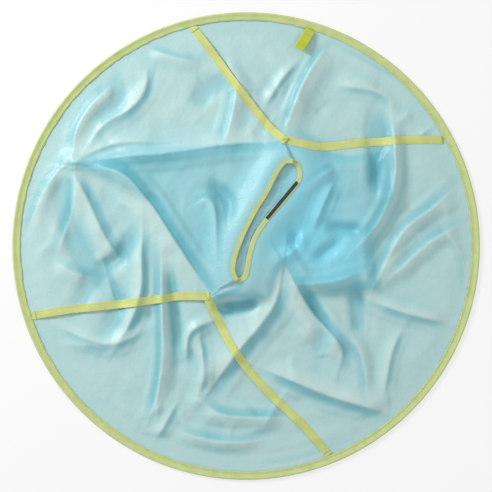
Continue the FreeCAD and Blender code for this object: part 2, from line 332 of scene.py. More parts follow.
seam_path = [beyond(LEFT_TIP, SLOT_LEFT), SLOT_LEFT] + SLOT_MIDDLE
seam_path += [SLOT_RIGHT, beyond(RIGHT_TIP, SLOT_RIGHT)]
front_half = np.array(seam_path + [(FAR, -FAR), (-FAR, -FAR)], float) * MM
print("slot length", round((slot_line[:, 0].max() - slot_line[:, 0].min()) * 1000), "mm")

# %% [markdown]
# ## How the cloth lies
#
# A hoop is a little too small for its cloth, so taffeta never lies flat in one: it stands in sharp, straight
# creases that start at the seams and at the ends of the slot, with nearly flat facets between them. One
# height function gives that shape for every panel and tape, so that a fold runs on across a seam. Each
# crease is a line on the plan with its height and how far its facet reaches to the left and to the right.
# The middle of the sheet stands a little higher than the rest, in a star whose edges are creases too.

# %% The star and the folds
# each fold: points, height, reach left, reach right, share left at the start, share left at the end
STAR = [(5, 345), (70, 268), (140, 135), (198, 25), (225, -95), (265, -160), (190, -205), (115, -200),
        (30, -250), (-10, -180), (-25, -115), (0, -75), (-70, -80), (-110, 15), (0, 195)]
FOLDS = [
    # from the pinched point near the rim, behind the neck
    ([(5, 345), (55, 262), (90, 200), (150, 108), (200, 22)], 13, 34, 26, 0.3, 0.5),
    ([(5, 345), (45, 315), (75, 280), (110, 210)], 8, 30, 14, 0.4, 0.0),
    ([(0, 340), (25, 265), (0, 195), (-45, 120), (-110, 18)], 17, 26, 52, 0.3, 0.6),
    ([(-5, 340), (-70, 315), (-170, 305)], 9, 22, 22, 0.4, 0.0),
    ([(-15, 335), (-40, 300), (-90, 240), (-125, 185)], 11, 24, 32, 0.3, 0.2),
    ([(-25, 355), (-90, 320), (-150, 250), (-190, 170), (-285, 165)], -9, 24, 24, 0.3, 0.0),
    ([(15, 355), (60, 368), (110, 365), (175, 340)], 10, 20, 22, 0.5, 0.0),
    ([(-150, 372), (-60, 375), (5, 360)], 8, 18, 20, 0.0, 0.5),
    ([(30, 335), (90, 325), (140, 292), (185, 285), (228, 305)], 9, 26, 20, 0.3, 0.0),
    ([(75, 350), (130, 320), (160, 330), (190, 350)], -7, 18, 18, 0.0, 0.0),
    # behind the neck, towards the right arm
    ([(150, 115), (210, 125), (262, 142)], 10, 22, 24, 0.4, 0.2),
    ([(185, 190), (225, 185), (265, 155)], -7, 24, 22, 0.0, 0.0),
    ([(250, 320), (257, 255), (270, 212)], 7, 18, 20, 0.0, 0.0),
    # left of the long crease
    ([(-30, 190), (-90, 165), (-150, 138), (-210, 130), (-270, 135)], 12, 20, 26, 0.2, 0.3),
    ([(-65, 140), (-150, 100), (-250, 52), (-330, 30), (-375, 30)], 14, 24, 18, 0.2, 0.2),
    ([(-45, 190), (-110, 200), (-170, 225), (-250, 235)], -8, 22, 20, 0.0, 0.2),
    ([(-170, 305), (-175, 262), (-165, 220)], 6, 20, 26, 0.0, 0.0),
    ([(-80, 118), (-150, 78), (-240, 22)], -8, 16, 16, 0.2, 0.2),
    # right arm's side panel
    ([(213, 25), (300, 32), (372, 26), (396, 12)], 13, 15, 34, 0.4, 0.1),
    ([(240, 75), (300, 68), (345, 55)], 8, 16, 14, 0.1, 0.1),
    ([(300, 180), (275, 155), (245, 105)], 7, 18, 18, 0.0, 0.3),
    ([(330, -20), (352, -90), (350, -135)], 7, 24, 18, 0.0, 0.0),
    ([(396, 0), (394, -60), (385, -130)], 5, 12, 18, 0.0, 0.0),
    # in front of the neck, right of the slot
    ([(332, -105), (250, -145), (175, -180)], -12, 22, 20, 0.1, 0.2),
    ([(340, -130), (270, -170), (210, -195), (140, -198), (62, -175)], 14, 20, 20, 0.2, 0.2),
    ([(270, -305), (205, -275), (140, -245), (25, -240)], 12, 26, 22, 0.2, 0.3),
    ([(205, -340), (150, -300), (45, -255)], 9, 22, 20, 0.1, 0.2),
    ([(5, -245), (10, -305), (20, -360), (28, -400)], 9, 24, 20, 0.3, 0.1),
    ([(15, -210), (-15, -230), (-60, -255)], -8, 16, 18, 0.3, 0.0),
    ([(-25, -108), (5, -160), (48, -210)], 11, 16, 24, 0.4, 0.2),
    ([(140, -48), (168, -66), (198, -86)], 9, 16, 18, 0.5, 0.0),
    ([(75, -100), (130, -96), (178, -96)], 9, 20, 16, 0.2, 0.1),
    ([(88, -112), (102, -150), (120, -185)], -8, 16, 16, 0.1, 0.1),
    ([(5, -65), (40, -85), (75, -78)], 7, 12, 16, 0.5, 0.0),
    ([(65, -62), (40, -80), (25, -98)], -6, 12, 12, 0.2, 0.2),
    ([(100, -160), (60, -140), (20, -120)], -7, 18, 16, 0.0, 0.2),
    # the pointed facet below the slot
    ([(0, -75), (-65, -92), (-120, -85), (-175, -70), (-285, -48)], 13, 30, 46, 0.5, 0.1),
    ([(0, -75), (-15, -97), (-55, -155), (-95, -235), (-140, -250)], 14, 26, 44, 0.5, 0.0),
    ([(-20, -120), (-80, -190), (-140, -205)], -8, 22, 22, 0.1, 0.1),
    # in front of the left arm
    ([(-190, -118), (-186, -195), (-182, -262), (-165, -375)], 12, 40, 24, 0.2, 0.2),
    ([(-290, -48), (-292, -100), (-248, -205)], 12, 22, 26, 0.4, 0.2),
    ([(-355, -18), (-352, -62), (-332, -130), (-295, -188)], 9, 18, 20, 0.1, 0.1),
    ([(-395, 0), (-352, -5), (-306, -8)], 7, 16, 16, 0.0, 0.2),
    ([(-355, -190), (-312, -252), (-275, -290)], 6, 16, 18, 0.0, 0.0),
    ([(-242, 5), (-188, 24), (-146, -4)], 10, 18, 16, 0.1, 0.3),
    ([(-175, 12), (-238, -28), (-290, -38)], 9, 16, 18, 0.3, 0.2),
    ([(-124, -5), (-102, -36), (-80, -66)], -15, 14, 16, 0.5, 0.2),
    ([(-110, 14), (-84, -8), (-60, -22)], 8, 12, 12, 0.6, 0.4),
    ([(22, 120), (48, 98), (30, 74), (-55, 32)], 8, 16, 20, 0.2, 0.1),
    ([(75, 120), (60, 60), (10, 45)], -6, 18, 18, 0.0, 0.0),
    # small ones near the rim
    ([(-150, -345), (-62, -322), (-10, -325)], 7, 20, 16, 0.1, 0.0),
    ([(-60, -235), (-100, -280), (-155, -315)], 8, 18, 18, 0.3, 0.0),
    ([(-120, 235), (-175, 188), (-202, 160)], 7, 16, 18, 0.0, 0.2),
    ([(-280, 250), (-268, 150), (-212, 96)], 7, 22, 20, 0.0, 0.1),
    ([(100, -395), (150, -360), (180, -310)], 6, 16, 18, 0.0, 0.0),
    ([(310, -200), (340, -215), (360, -215)], 5, 12, 12, 0.2, 0.0),
]
star_outline = np.array(STAR, float) * MM
star_closed = np.vstack([star_outline, star_outline[:1]])
fold_lines = [(curve_through(fold[0], 8 * MM),) + fold[1:] for fold in FOLDS]

# %% [markdown]
# The sizes here were set until the creases stood as high and as sharp as taffeta's do. The star is
# the loose cloth that a head pushes up round the neck, and the crumple is what packing leaves behind.

# %% Fold sizes, star and crumple
FLOOR_GAP = 2.2 * MM
STAR_RISE = 13 * MM
# how round the top of a crease is
CREST = 0.4 * MM
FOLD_GAIN = 1.05
FOLD_REACH = 1.3
# a lap is the side of a crease where the cloth folds under itself
LAP_DROP = 6 * MM
LAP_EDGE = 5 * MM
LAP_PER_RISE = 0.036
# how much the broad side of a crease is raised and painted paler, against the lapped side
LAP_PALE = 0.45


def star_share(points, before=10 * MM, rise=34 * MM):
    """1 well inside the raised star, 0 outside, with a steep edge."""
    distance, _, _ = near(points, star_closed)
    signed = np.where(within(points, star_outline), distance, -distance)
    return smooth((signed + before) / rise)


def crumple(points):
    """Small straight creases in many directions, as thin cloth keeps from being packed."""
    rng = random.Random(7)
    total = np.zeros(len(points))
    for _ in range(9):
        angle = rng.uniform(0, math.pi)
        wave = rng.uniform(38, 95) * MM
        bend = rng.uniform(90, 160) * MM
        u = points[:, 0] * math.cos(angle) + points[:, 1] * math.sin(angle)
        v = points[:, 1] * math.cos(angle) - points[:, 0] * math.sin(angle)
        phase = u / wave * 2 * math.pi + 1.3 * np.sin(v / bend * 2 * math.pi + rng.uniform(0, 6))
        mask = 0.5 + 0.5 * np.sin(v / (2.3 * bend) + u / (3.1 * wave) + rng.uniform(0, 6))
        total += rng.uniform(0.5, 1.1) * MM * mask * (0.64 - np.abs(np.sin(phase / 2 + rng.uniform(0, 3))))
    return total

# %% [markdown]
# Real cloth also has short creases that nobody would place by hand, so a seeded scatter adds them.

# %% Stray creases
STRAY_COUNT, STRAY_RADIUS = 80, 395


def stray_lines(count):
    """Short sharp creases between the long ones, mostly running out from the middle."""
    rng = random.Random(23)
    lines = []
    for _ in range(count):
        turn, radius = rng.uniform(0, 2 * math.pi), STRAY_RADIUS * math.sqrt(rng.uniform(0.03, 1))
        x, y = radius * math.cos(turn), radius * math.sin(turn)
        way = turn + rng.choice((-1, 1)) * rng.uniform(0.1, 1.1)
        length, bend = rng.uniform(40, 110), rng.uniform(-0.35, 0.35)
        points = [(x, y), (x + length / 2 * math.cos(way), y + length / 2 * math.sin(way)),
                  (x + length * math.cos(way + bend), y + length * math.sin(way + bend))]
        height = rng.choice((-1, 1, 1)) * rng.uniform(1.0, 2.4)
        line = curve_through(points, 8 * MM)
        lines.append((line, height, rng.uniform(6, 16), rng.uniform(6, 16), 0.0, 0.0))
    return lines


fold_lines += stray_lines(STRAY_COUNT)
print("creases:", len(fold_lines))

# %% [markdown]
# A crease is a sharp ridge whose sides fall away as a power of the distance. Its height fades at both ends.

# %% Height of the creases
def fold_height(points):
    """The sum of the creases at plan points."""
    total = np.zeros(len(points))
    for line, height, left, right_reach, start, end in fold_lines:
        reach = max(left, right_reach) * FOLD_REACH * MM
        low = line.min(0) - reach
        high = line.max(0) + reach
        close = np.all((points > low) & (points < high), axis=1)
        distance, side, along = near(points[close], line)
        width = np.where(side > 0, left, right_reach) * FOLD_REACH * MM
        share = (np.sqrt(distance ** 2 + CREST ** 2) - CREST) / width
        swell = np.minimum(start + (1 - start) * smooth(along / 0.35),
                           end + (1 - end) * smooth((1 - along) / 0.35))
        total[close] += FOLD_GAIN * height * MM * swell * np.clip(1 - share, 0, 1) ** 1.3
    return total


def lap_depth(points):
    """How far the cloth laps itself: deep on a crease's steep side, and less than flat on its broad side.
    The amount also paints shade into the cloth's colour where it is deep, and a paler colour where it is
    less than flat.
    """
    total = np.zeros(len(points))
    for line, height, left, right_reach, start, end in fold_lines[:len(FOLDS)]:
        reach = max(left, right_reach) * MM
        close = np.all((points > line.min(0) - reach) & (points < line.max(0) + reach), axis=1)
        distance, side, along = near(points[close], line)
        steep = smooth(0.5 + distance * side * (1 if left < right_reach else -1) / LAP_EDGE)
        share = distance / (np.where(side > 0, left, right_reach) * MM)
        ends = smooth(along / 0.25) * smooth((1 - along) / 0.25) * 0.8 + 0.2
        if height > 0:
            amount = LAP_PER_RISE * height * (steep - LAP_PALE * (1 - steep))
        else:
            amount = -LAP_PER_RISE * height
        total[close] += amount * ends * smooth(1.6 * (1 - share))
    return total

# %% [markdown]
# The star, the creases and the crumple are added up once, on a square map. It is read between its cells for
# every panel, tape and stitch, which is faster than adding them up again and keeps them all together.

# %% The height map
def rough_height(points):
    """Height of the main panels' cloth over the floor, straight from the creases."""
    radius = np.hypot(points[:, 0], points[:, 1])
    inward = RIM_INNER - radius
    free = smooth(inward / (44 * MM))
    dome = 9 * MM * smooth(inward / (300 * MM))
    cloth = 4 * MM + dome + STAR_RISE * star_share(points) + fold_height(points) + crumple(points)
    cloth -= LAP_DROP * lap_depth(points)
    cloth = FLOOR_GAP + np.logaddexp(0, (cloth - FLOOR_GAP) / (2.5 * MM)) * 2.5 * MM
    turn = np.arctan2(points[:, 1], points[:, 0])
    gather = np.sin(turn * 83 + 3 * np.sin(turn * 11)) * np.exp(-inward / (11 * MM)) * np.clip(inward, 0, 1)
    height = RIM_CLOTH + (cloth - RIM_CLOTH) * free + 45 * MM * gather
    gap, _, _ = near(points, np.vstack([slot_line, slot_line[:1]]))
    to_neck = smooth(1 - (gap - 8 * MM) / (58 * MM))
    return np.maximum(height + (NECK_LEVEL - height) * to_neck, RIM_CLOTH)


# the map reaches past the rim on all sides
MAP_STEP = 2 * MM
MAP_HALF = 440 * MM
ticks = np.arange(-MAP_HALF, MAP_HALF + MAP_STEP / 2, MAP_STEP)
map_x, map_y = np.meshgrid(ticks, ticks)
height_map = rough_height(np.column_stack([map_x.ravel(), map_y.ravel()])).reshape(map_x.shape)


def blurred(values, passes):
    """A map smoothed by a small filter, a number of times over."""
    for _ in range(passes):
        for axis in (0, 1):
            values = (np.roll(values, 1, axis) + 2 * values + np.roll(values, -1, axis)) / 4
    return values


# the lapped sides of the creases, used to paint shade beside them
lap_shade_map = lap_depth(np.column_stack([map_x.ravel(), map_y.ravel()])).reshape(map_x.shape)
# how far the cloth lies below its blurred surroundings, used to paint shade into hollows
hollow_map = blurred(height_map, 90) - height_map
# the steepness of the cloth, used to paint shade on steep slopes
slope_y, slope_x = np.gradient(height_map, MAP_STEP)
steep_map = blurred(np.hypot(slope_x, slope_y), 2)


def sample(values, points):
    """A map's value at plan points, between its cells."""
    column = (points[:, 0] + MAP_HALF) / MAP_STEP
    row = (points[:, 1] + MAP_HALF) / MAP_STEP
    i, j = np.floor(row).astype(int), np.floor(column).astype(int)
    v, u = row - i, column - j
    return ((values[i, j] * (1 - u) + values[i, j + 1] * u) * (1 - v)
            + (values[i + 1, j] * (1 - u) + values[i + 1, j + 1] * u) * v)

# %% [markdown]
# The back panel stands a little over the front one at the neck, where its edge closes over the slot. The
# side panels run under both, so they lie lower.

# %% Height of each panel
def front_height(points):
    return sample(height_map, points)


def back_height(points):
    """The back panel stands over the front one close to the neck's back edge."""
    gap, _, _ = near(points, lip_line)
    return front_height(points) + LIP_RISE * smooth(1 - (gap - 7 * MM) / (40 * MM))


def side_height(points):
    """A side panel passes under the main panels and their tapes."""
    depth = np.full(len(points), 2.0 * MM)
    for (side, _), line in arm_lines.items():
        gap, _, _ = near(points, line)
        outside = ~within(points, wedges[side])
        lapped = smooth(1 - (gap - 10 * MM) / (30 * MM))
        depth = np.maximum(depth, np.where(outside, 3.4 * MM, 2.0 * MM + 1.4 * MM * lapped))
    inward = RIM_INNER - np.hypot(points[:, 0], points[:, 1])
    depth = 0.5 * MM + (depth - 0.5 * MM) * smooth(inward / (26 * MM))
    return np.maximum(front_height(points) - depth, 0.9 * MM)


probe = front_height(np.array([(0.0, 0.15), (0.2, -0.2), (-0.2, -0.2)]))
print("sample heights, mm:", np.round(probe * 1000, 1))
print("highest cloth, mm:", round(float(height_map.max()) * 1000, 1))

# %% [markdown]
# ## Helpers for cut cloth
#
# A panel starts as a grid, which is cut to the pattern and then lifted to the height of the folds. Its edge
# is pulled on to the cutting line, so that it is clean where a tape doesn't cover it. The cloth gets its
# thickness last. A maker would cut the same pieces from a roll with a hot knife, which seals the edge.

# %% Panels from a grid
def finish_piece(name, bm, material, body=None, thickness=None, smooth_faces=True):
    """Turns a bmesh into an object with its material and, for cloth, its thickness."""
    mesh = bpy.data.meshes.new(name)
    for face in bm.faces:
        face.smooth = smooth_faces
    bm.to_mesh(mesh)
    bm.free()
    mesh.materials.append(material)
    piece = bpy.data.objects.new(name, mesh)
    bpy.context.collection.objects.link(piece)
    if thickness:
        solidify = piece.modifiers.new("thickness", "SOLIDIFY")
        solidify.thickness = thickness
        solidify.offset = 0
        bpy.context.view_layer.update()
        solid = bpy.data.meshes.new_from_object(piece.evaluated_get(bpy.context.evaluated_depsgraph_get()))
        solid.name = name
        piece.modifiers.clear()
        piece.data = solid
    if body:
        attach(piece, body)
    return piece


def plan_points(verts):
    return np.array([(v.co.x, v.co.y) for v in verts], float).reshape(-1, 2)


def nearest_on(points, line):
    """The nearest point of a line to each plan point, and its distance."""
    best = np.full(len(points), np.inf)
    place = points.copy()
    for a, b in zip(line[:-1], line[1:]):
        way = b - a
        length = way @ way
        if length < 1e-14:
            continue
        t = np.clip(((points - a) @ way) / length, 0, 1)
        spot = a + t[:, None] * way
        gap = np.hypot(*(points - spot).T)
        closer = gap < best
        best[closer], place[closer] = gap[closer], spot[closer]
    return place, best


def cut_panel(keep, edges, height, centre=(0, 0), half=435 * MM, step=GRID):
    """A grid cut to an area, with its border pulled on to the edge lines and lifted to a height."""
    bm = bmesh.new()
    count = int(round(2 * half / step))
    bmesh.ops.create_grid(bm, x_segments=count, y_segments=count, size=half)
    bmesh.ops.translate(bm, verts=bm.verts, vec=(*centre, 0))
    middles = np.array([face.calc_center_median()[:2] for face in bm.faces], float)
    inside = keep(middles)
    bmesh.ops.delete(bm, geom=[f for f, kept in zip(list(bm.faces), inside) if not kept], context="FACES")
    border = [v for v in bm.verts if v.is_boundary]
    points = plan_points(border)
    best = np.full(len(border), 1.5 * step)
    target = points.copy()
    for line in edges:
        spot, gap = nearest_on(points, line)
        closer = gap < best
        best[closer], target[closer] = gap[closer], spot[closer]
    for v, (x, y) in zip(border, target):
        v.co.x, v.co.y = x, y
    bmesh.ops.remove_doubles(bm, verts=bm.verts, dist=0.05 * MM)
    for v, z in zip(bm.verts, height(plan_points(bm.verts))):
        v.co.z = z
    for v in bm.verts:
        if v.normal.z < 0:
            bmesh.ops.reverse_faces(bm, faces=bm.faces)
            break
    return bm


turns = np.linspace(0, 2 * math.pi, 721)
cloth_circle = np.column_stack([np.cos(turns), np.sin(turns)]) * CLOTH_RADIUS
slot_closed = np.vstack([slot_line, slot_line[:1]])
seam_line = np.array(seam_path, float) * MM
main_edges = [cloth_circle, slot_closed, seam_line] + list(arm_lines.values())


def on_main(points):
    inside = np.hypot(points[:, 0], points[:, 1]) < CLOTH_RADIUS
    return inside & ~within(points, wedges["right"]) & ~within(points, wedges["left"]) \
        & ~within(points, slot_line)


print("helpers ready")

# %% [markdown]
# ## Taffeta
#
# The cloth is a polyester taffeta: a very thin, tight plain weave with a crisp hand and a soft gloss. It is
# a little see-through, and the light and shade that come of that are painted into its colour: an attribute
# on the mesh holds painted shade, deeper where the cloth stands off the floor, lies doubled, sinks into a
# hollow or slopes steeply, and paler where it lies flat, from 0 pale to 1 deep.

# %% Taffeta material
def weave_height(tree, coordinates, spacing, across=1.0):
    """Two crossed sine waves, one thread spacing apart, as a height."""
    scale = 2 * math.pi / spacing / 20
    warp = add(tree, "ShaderNodeTexWave", {"bands_direction": "X", "Scale": scale, "Distortion": 0.0},
               Vector=coordinates)
    weft = add(tree, "ShaderNodeTexWave", {"bands_direction": "Y", "Scale": scale * across,
                                           "Distortion": 0.0}, Vector=coordinates)
    return add(tree, "ShaderNodeMath", {"operation": "ADD"},
               _0=warp.outputs["Fac"], _1=weft.outputs["Fac"]).outputs[0]


taffeta, tree = new_material("woven_polyester_taffeta")
place = add(tree, "ShaderNodeTexCoord").outputs["Object"]
# painted shade carried by the mesh, from 0 pale to 1 deep
tone = add(tree, "ShaderNodeAttribute", {"attribute_name": "tone"}).outputs["Fac"]
# a faint unevenness of the dye, a hand's breadth across
dye = add(tree, "ShaderNodeTexNoise", {"Scale": 14.0, "Detail": 3.0}, Vector=place).outputs["Fac"]
dye = add(tree, "ShaderNodeMapRange", {"From Min": 0.3, "From Max": 0.7, "To Min": -0.05, "To Max": 0.05},
          Value=dye).outputs[0]
# the painted shade, with the dye's faint random unevenness added, picks a colour from pale to deep
depth = add(tree, "ShaderNodeMath", {"operation": "ADD", "use_clamp": True}, _0=tone, _1=dye).outputs[0]
shade_ramp_colours = [(0.0, "#BEDAD7"), (0.28, "#ABD1D2"), (0.55, "#8CC3C9"), (1.0, "#5BA6B2")]
colour = add(tree, "ShaderNodeValToRGB", {"stops": shade_ramp_colours}, Fac=depth).outputs["Color"]
# painted light: in the middle, folds hang under the cloth, and the light that comes through them is painted
# as a clear cyan
bloom = add(tree, "ShaderNodeAttribute", {"attribute_name": "bloom"}).outputs["Fac"]
through = add(tree, "ShaderNodeMix", {"data_type": "RGBA", "B": linear("#7FD3E8")},
              Factor=bloom, A=colour)
colour = next(socket for socket in through.outputs if socket.enabled)
# the real weave has 0.2 mm threads, drawn here at 0.9 mm so that it shows at all
threads = weave_height(tree, place, 0.9 * MM)
fine = add(tree, "ShaderNodeBump", {"Strength": 0.12, "Distance": 0.1 * MM}, Height=threads)
# faint sharp wrinkles, 10 to 25 mm apart, that taffeta keeps from being packed
wrinkle = add(tree, "ShaderNodeTexNoise", {"Scale": 42.0, "Detail": 4.0, "Roughness": 0.6},
              Vector=place).outputs["Fac"]
wrinkle = add(tree, "ShaderNodeMath", {"operation": "PINGPONG", 1: 0.11}, _0=wrinkle).outputs[0]
coarse = add(tree, "ShaderNodeBump", {"Strength": 0.5, "Distance": 4 * MM},
             Height=wrinkle, Normal=fine.outputs["Normal"])
cloth = add(tree, "ShaderNodeBsdfPrincipled", {"Roughness": 0.40, "Specular IOR Level": 0.4,
                                               "Sheen Weight": 0.15, "Sheen Roughness": 0.4},
            Base_Color=colour, Normal=coarse.outputs["Normal"])
add(tree, "ShaderNodeOutputMaterial", Surface=cloth.outputs[0])
print("taffeta ready")

# %% Painted shade and light over the panels
# spots of painted light through the cloth: middle and reach in millimetres, and strength
LIGHT_THROUGH_SPOTS = [((130, -50), 60, 0.32), ((100, -100), 60, 0.38), ((35, -65), 42, 0.55), ((50, -140), 55, 0.40),
              ((190, -60), 45, 0.18), ((60, -190), 40, 0.25)]


def paint_light_and_shade(piece, base=0.0):
    """Paints shade into the cloth's colour, from 0 pale to 1 deep, and light coming through it, at each
    point of a panel.
    """
    mesh = piece.data
    points = np.array([v.co[:2] for v in mesh.vertices], float)
    inner = star_share(points, 2 * MM, 7 * MM)
    # painted shade: a base amount, and more inside the raised star where the cloth stands off the floor
    tone = base + 0.18 + 0.26 * inner
    # painted shade in the hollows between creases, and a paler colour painted on their crests
    tone += np.clip(sample(hollow_map, points) / (9 * MM), -0.3, 0.5) * 0.35
    # painted shade on steep slopes
    tone += np.clip((sample(steep_map, points) - 0.12) / 0.5, 0, 1) * 0.2
    # painted shade on the lapped side of each crease, and a paler colour painted on its broad side
    tone += 0.75 * np.clip(sample(lap_shade_map, points), -0.2, 1)
    # painted light through the cloth, in the star and round the listed spots
    bloom = 0.18 * inner
    for (x, y), reach, strength in LIGHT_THROUGH_SPOTS:
        gap = np.hypot(points[:, 0] - x * MM, points[:, 1] - y * MM)
        bloom += strength * np.exp(-(gap / (reach * MM)) ** 2) * (0.35 + 0.65 * inner)
    for name, values in (("tone", tone), ("bloom", bloom)):
        attribute = mesh.attributes.new(name, "FLOAT", "POINT")
        attribute.data.foreach_set("value", np.clip(values, 0, 1).astype(np.float32))
    return piece

# %% [markdown]
# ## The four panels
#
# Two main panels lie in front of and behind the neck, and a side panel lies in each V. The side panels run
# on under the main ones, so that nothing shows through an arm opening. For each panel, the neck's share
# against the hoop is worked out at every point, but it is not applied.

# %% Main panels
front_panel = finish_piece("front_panel_cloth", cut_panel(
    lambda p: on_main(p) & within(p, front_half), main_edges, front_height), taffeta,
    thickness=CLOTH_THICKNESS)
paint_light_and_shade(front_panel)
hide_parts("front_panel")
back_panel = finish_piece("back_panel_cloth", cut_panel(
    lambda p: on_main(p) & ~within(p, front_half), main_edges, back_height), taffeta,
    thickness=CLOTH_THICKNESS)
paint_light_and_shade(back_panel)
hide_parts("back_panel")
core_line = np.array([LEFT_TIP, SLOT_LEFT] + SLOT_MIDDLE + [SLOT_RIGHT, RIGHT_TIP], float) * MM
loop_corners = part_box("packing_loop")
loop_middle = np.array((loop_corners[0] + loop_corners[1])[:2]) / 2
# the neck's share falls to nothing outside HELD_RADIUS, and LOOP_HOLD further in close to the packing loop
HELD_RADIUS = 392 * MM
LOOP_HOLD, LOOP_REACH = 34 * MM, 60 * MM
NECK_CORE = 40 * MM


def follow_neck(piece):
    """Bakes the piece's placement and works out the neck's share against the hoop at each point; the share
    is not applied.
    """
    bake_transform(piece)
    points = np.array([v.co[:2] for v in piece.data.vertices], float)
    # the band where the neck has no share is wider where the packing loop lies on the cloth
    to_loop = np.hypot(*(points - loop_middle).T)
    held = HELD_RADIUS - LOOP_HOLD * np.exp(-(to_loop / LOOP_REACH) ** 2)
    to_rim = np.clip(held - np.hypot(points[:, 0], points[:, 1]), 0, None)
    to_neck = np.clip(near(points, core_line)[0] - NECK_CORE, 0, None)
    share = to_rim / (to_rim + to_neck + 1e-9)
    share = 0.4 * share + 0.6 * smooth(share)
    return piece


follow_neck(front_panel)
follow_neck(back_panel)
print("faces:", len(front_panel.data.polygons), len(back_panel.data.polygons))

# %% Side panels
SIDE_LAP = 32 * MM
side_panels = {}
side_areas = {}
for side, outline in wedges.items():
    lines = [arm_lines[side, "back"], arm_lines[side, "front"]]

    def in_side(points, side=side, outline=outline, lines=lines):
        gaps = np.minimum(near(points, lines[0])[0], near(points, lines[1])[0])
        inside = within(points, outline) | (gaps < SIDE_LAP - ARM_TAPE / 2)
        clear_of_slot = near(points, slot_closed)[0] > 14 * MM
        return inside & clear_of_slot & (np.hypot(points[:, 0], points[:, 1]) < CLOTH_RADIUS) \
            & (np.sign(points[:, 0]) == (1 if side == "right" else -1))

    panel = finish_piece(side + "_side_cloth", cut_panel(in_side, [cloth_circle], side_height), taffeta,
                         thickness=CLOTH_THICKNESS)
    paint_light_and_shade(panel)
    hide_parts(side + "_side_panel")
    follow_neck(panel)
    side_panels[side] = panel
    side_areas[side] = in_side
    print(side, "side panel faces:", len(panel.data.polygons))

# %% [markdown]
# ## Bound edges
#
# Every raw edge is wrapped in a narrow woven tape, folded over it and sewn through all the layers. The tape
# here is a strip bent round the cloth's edge: an upper leg, the fold and a lower leg, all at the height of
# the cloth between them. Its ribs run across it, so it carries its own map: u along the tape, v across.

# %% Tape materials
def tape_material(name, dark, light, rib=1.1 * MM, roughness=0.7):
    """A woven tape: fine ribs across it."""
    material, tree = new_material(name)
    place = add(tree, "ShaderNodeUVMap", {"uv_map": "tape"}).outputs["UV"]
    # the real ribs are 0.5 mm apart, drawn here at 1.1 mm
    ribs = add(tree, "ShaderNodeTexWave", {"bands_direction": "X", "Scale": 2 * math.pi / rib / 20,
                                           "Distortion": 0.4, "Detail": 1.0}, Vector=place).outputs["Fac"]
    patches = add(tree, "ShaderNodeTexNoise", {"Scale": 45.0, "Detail": 3.0}, Vector=place).outputs["Fac"]
    # painted shade: the colour follows the ribs, lighter on their crests and darker between them; the
    # patches are random unevenness of colour
    rib_shade_and_patches = add(tree, "ShaderNodeMath", {"operation": "MULTIPLY_ADD", 1: 0.35},
                _0=ribs, _2=patches).outputs[0]
    colour = add(tree, "ShaderNodeValToRGB", {"stops": [(0.3, dark), (0.85, light)]},
                 Fac=rib_shade_and_patches).outputs["Color"]
    bump = add(tree, "ShaderNodeBump", {"Strength": 0.35, "Distance": 0.15 * MM}, Height=ribs)
    cloth = add(tree, "ShaderNodeBsdfPrincipled", {"Roughness": roughness, "Specular IOR Level": 0.3,
                                                   "Sheen Weight": 0.1},
                Base_Color=colour, Normal=bump.outputs["Normal"])
    add(tree, "ShaderNodeOutputMaterial", Surface=cloth.outputs[0])
    return material


arm_tape = tape_material("lime_grosgrain_binding_tape", "#BCC672", "#D0D88A")
rim_tape = tape_material("pale_grosgrain_rim_tape", "#B2C378", "#C9D494")
neck_tape = tape_material("green_grosgrain_neck_tape", "#B4C47C", "#CAD698")


def thread_material(name, colour, light):
    """Twisted polyester sewing thread with a slight gloss."""
    material, tree = new_material(name)
    place = add(tree, "ShaderNodeTexCoord").outputs["Object"]
    twist = add(tree, "ShaderNodeTexNoise", {"Scale": 900.0, "Detail": 1.0}, Vector=place).outputs["Fac"]
    tint = add(tree, "ShaderNodeValToRGB", {"stops": [(0.35, colour), (0.65, light)]},
               Fac=twist).outputs["Color"]
    bump = add(tree, "ShaderNodeBump", {"Strength": 0.4, "Distance": 0.1 * MM}, Height=twist)
    shader = add(tree, "ShaderNodeBsdfPrincipled", {"Roughness": 0.5}, Base_Color=tint,
                 Normal=bump.outputs["Normal"])
    add(tree, "ShaderNodeOutputMaterial", Surface=shader.outputs[0])
    return material


green_thread = thread_material("lime_polyester_thread", "#A6BF74", "#C4D79A")
aqua_thread = thread_material("aqua_polyester_thread", "#7FB4BE", "#9CCBD2")
dark_thread = thread_material("black_polyester_thread", "#1B2A25", "#30433C")
print("tapes and threads ready")

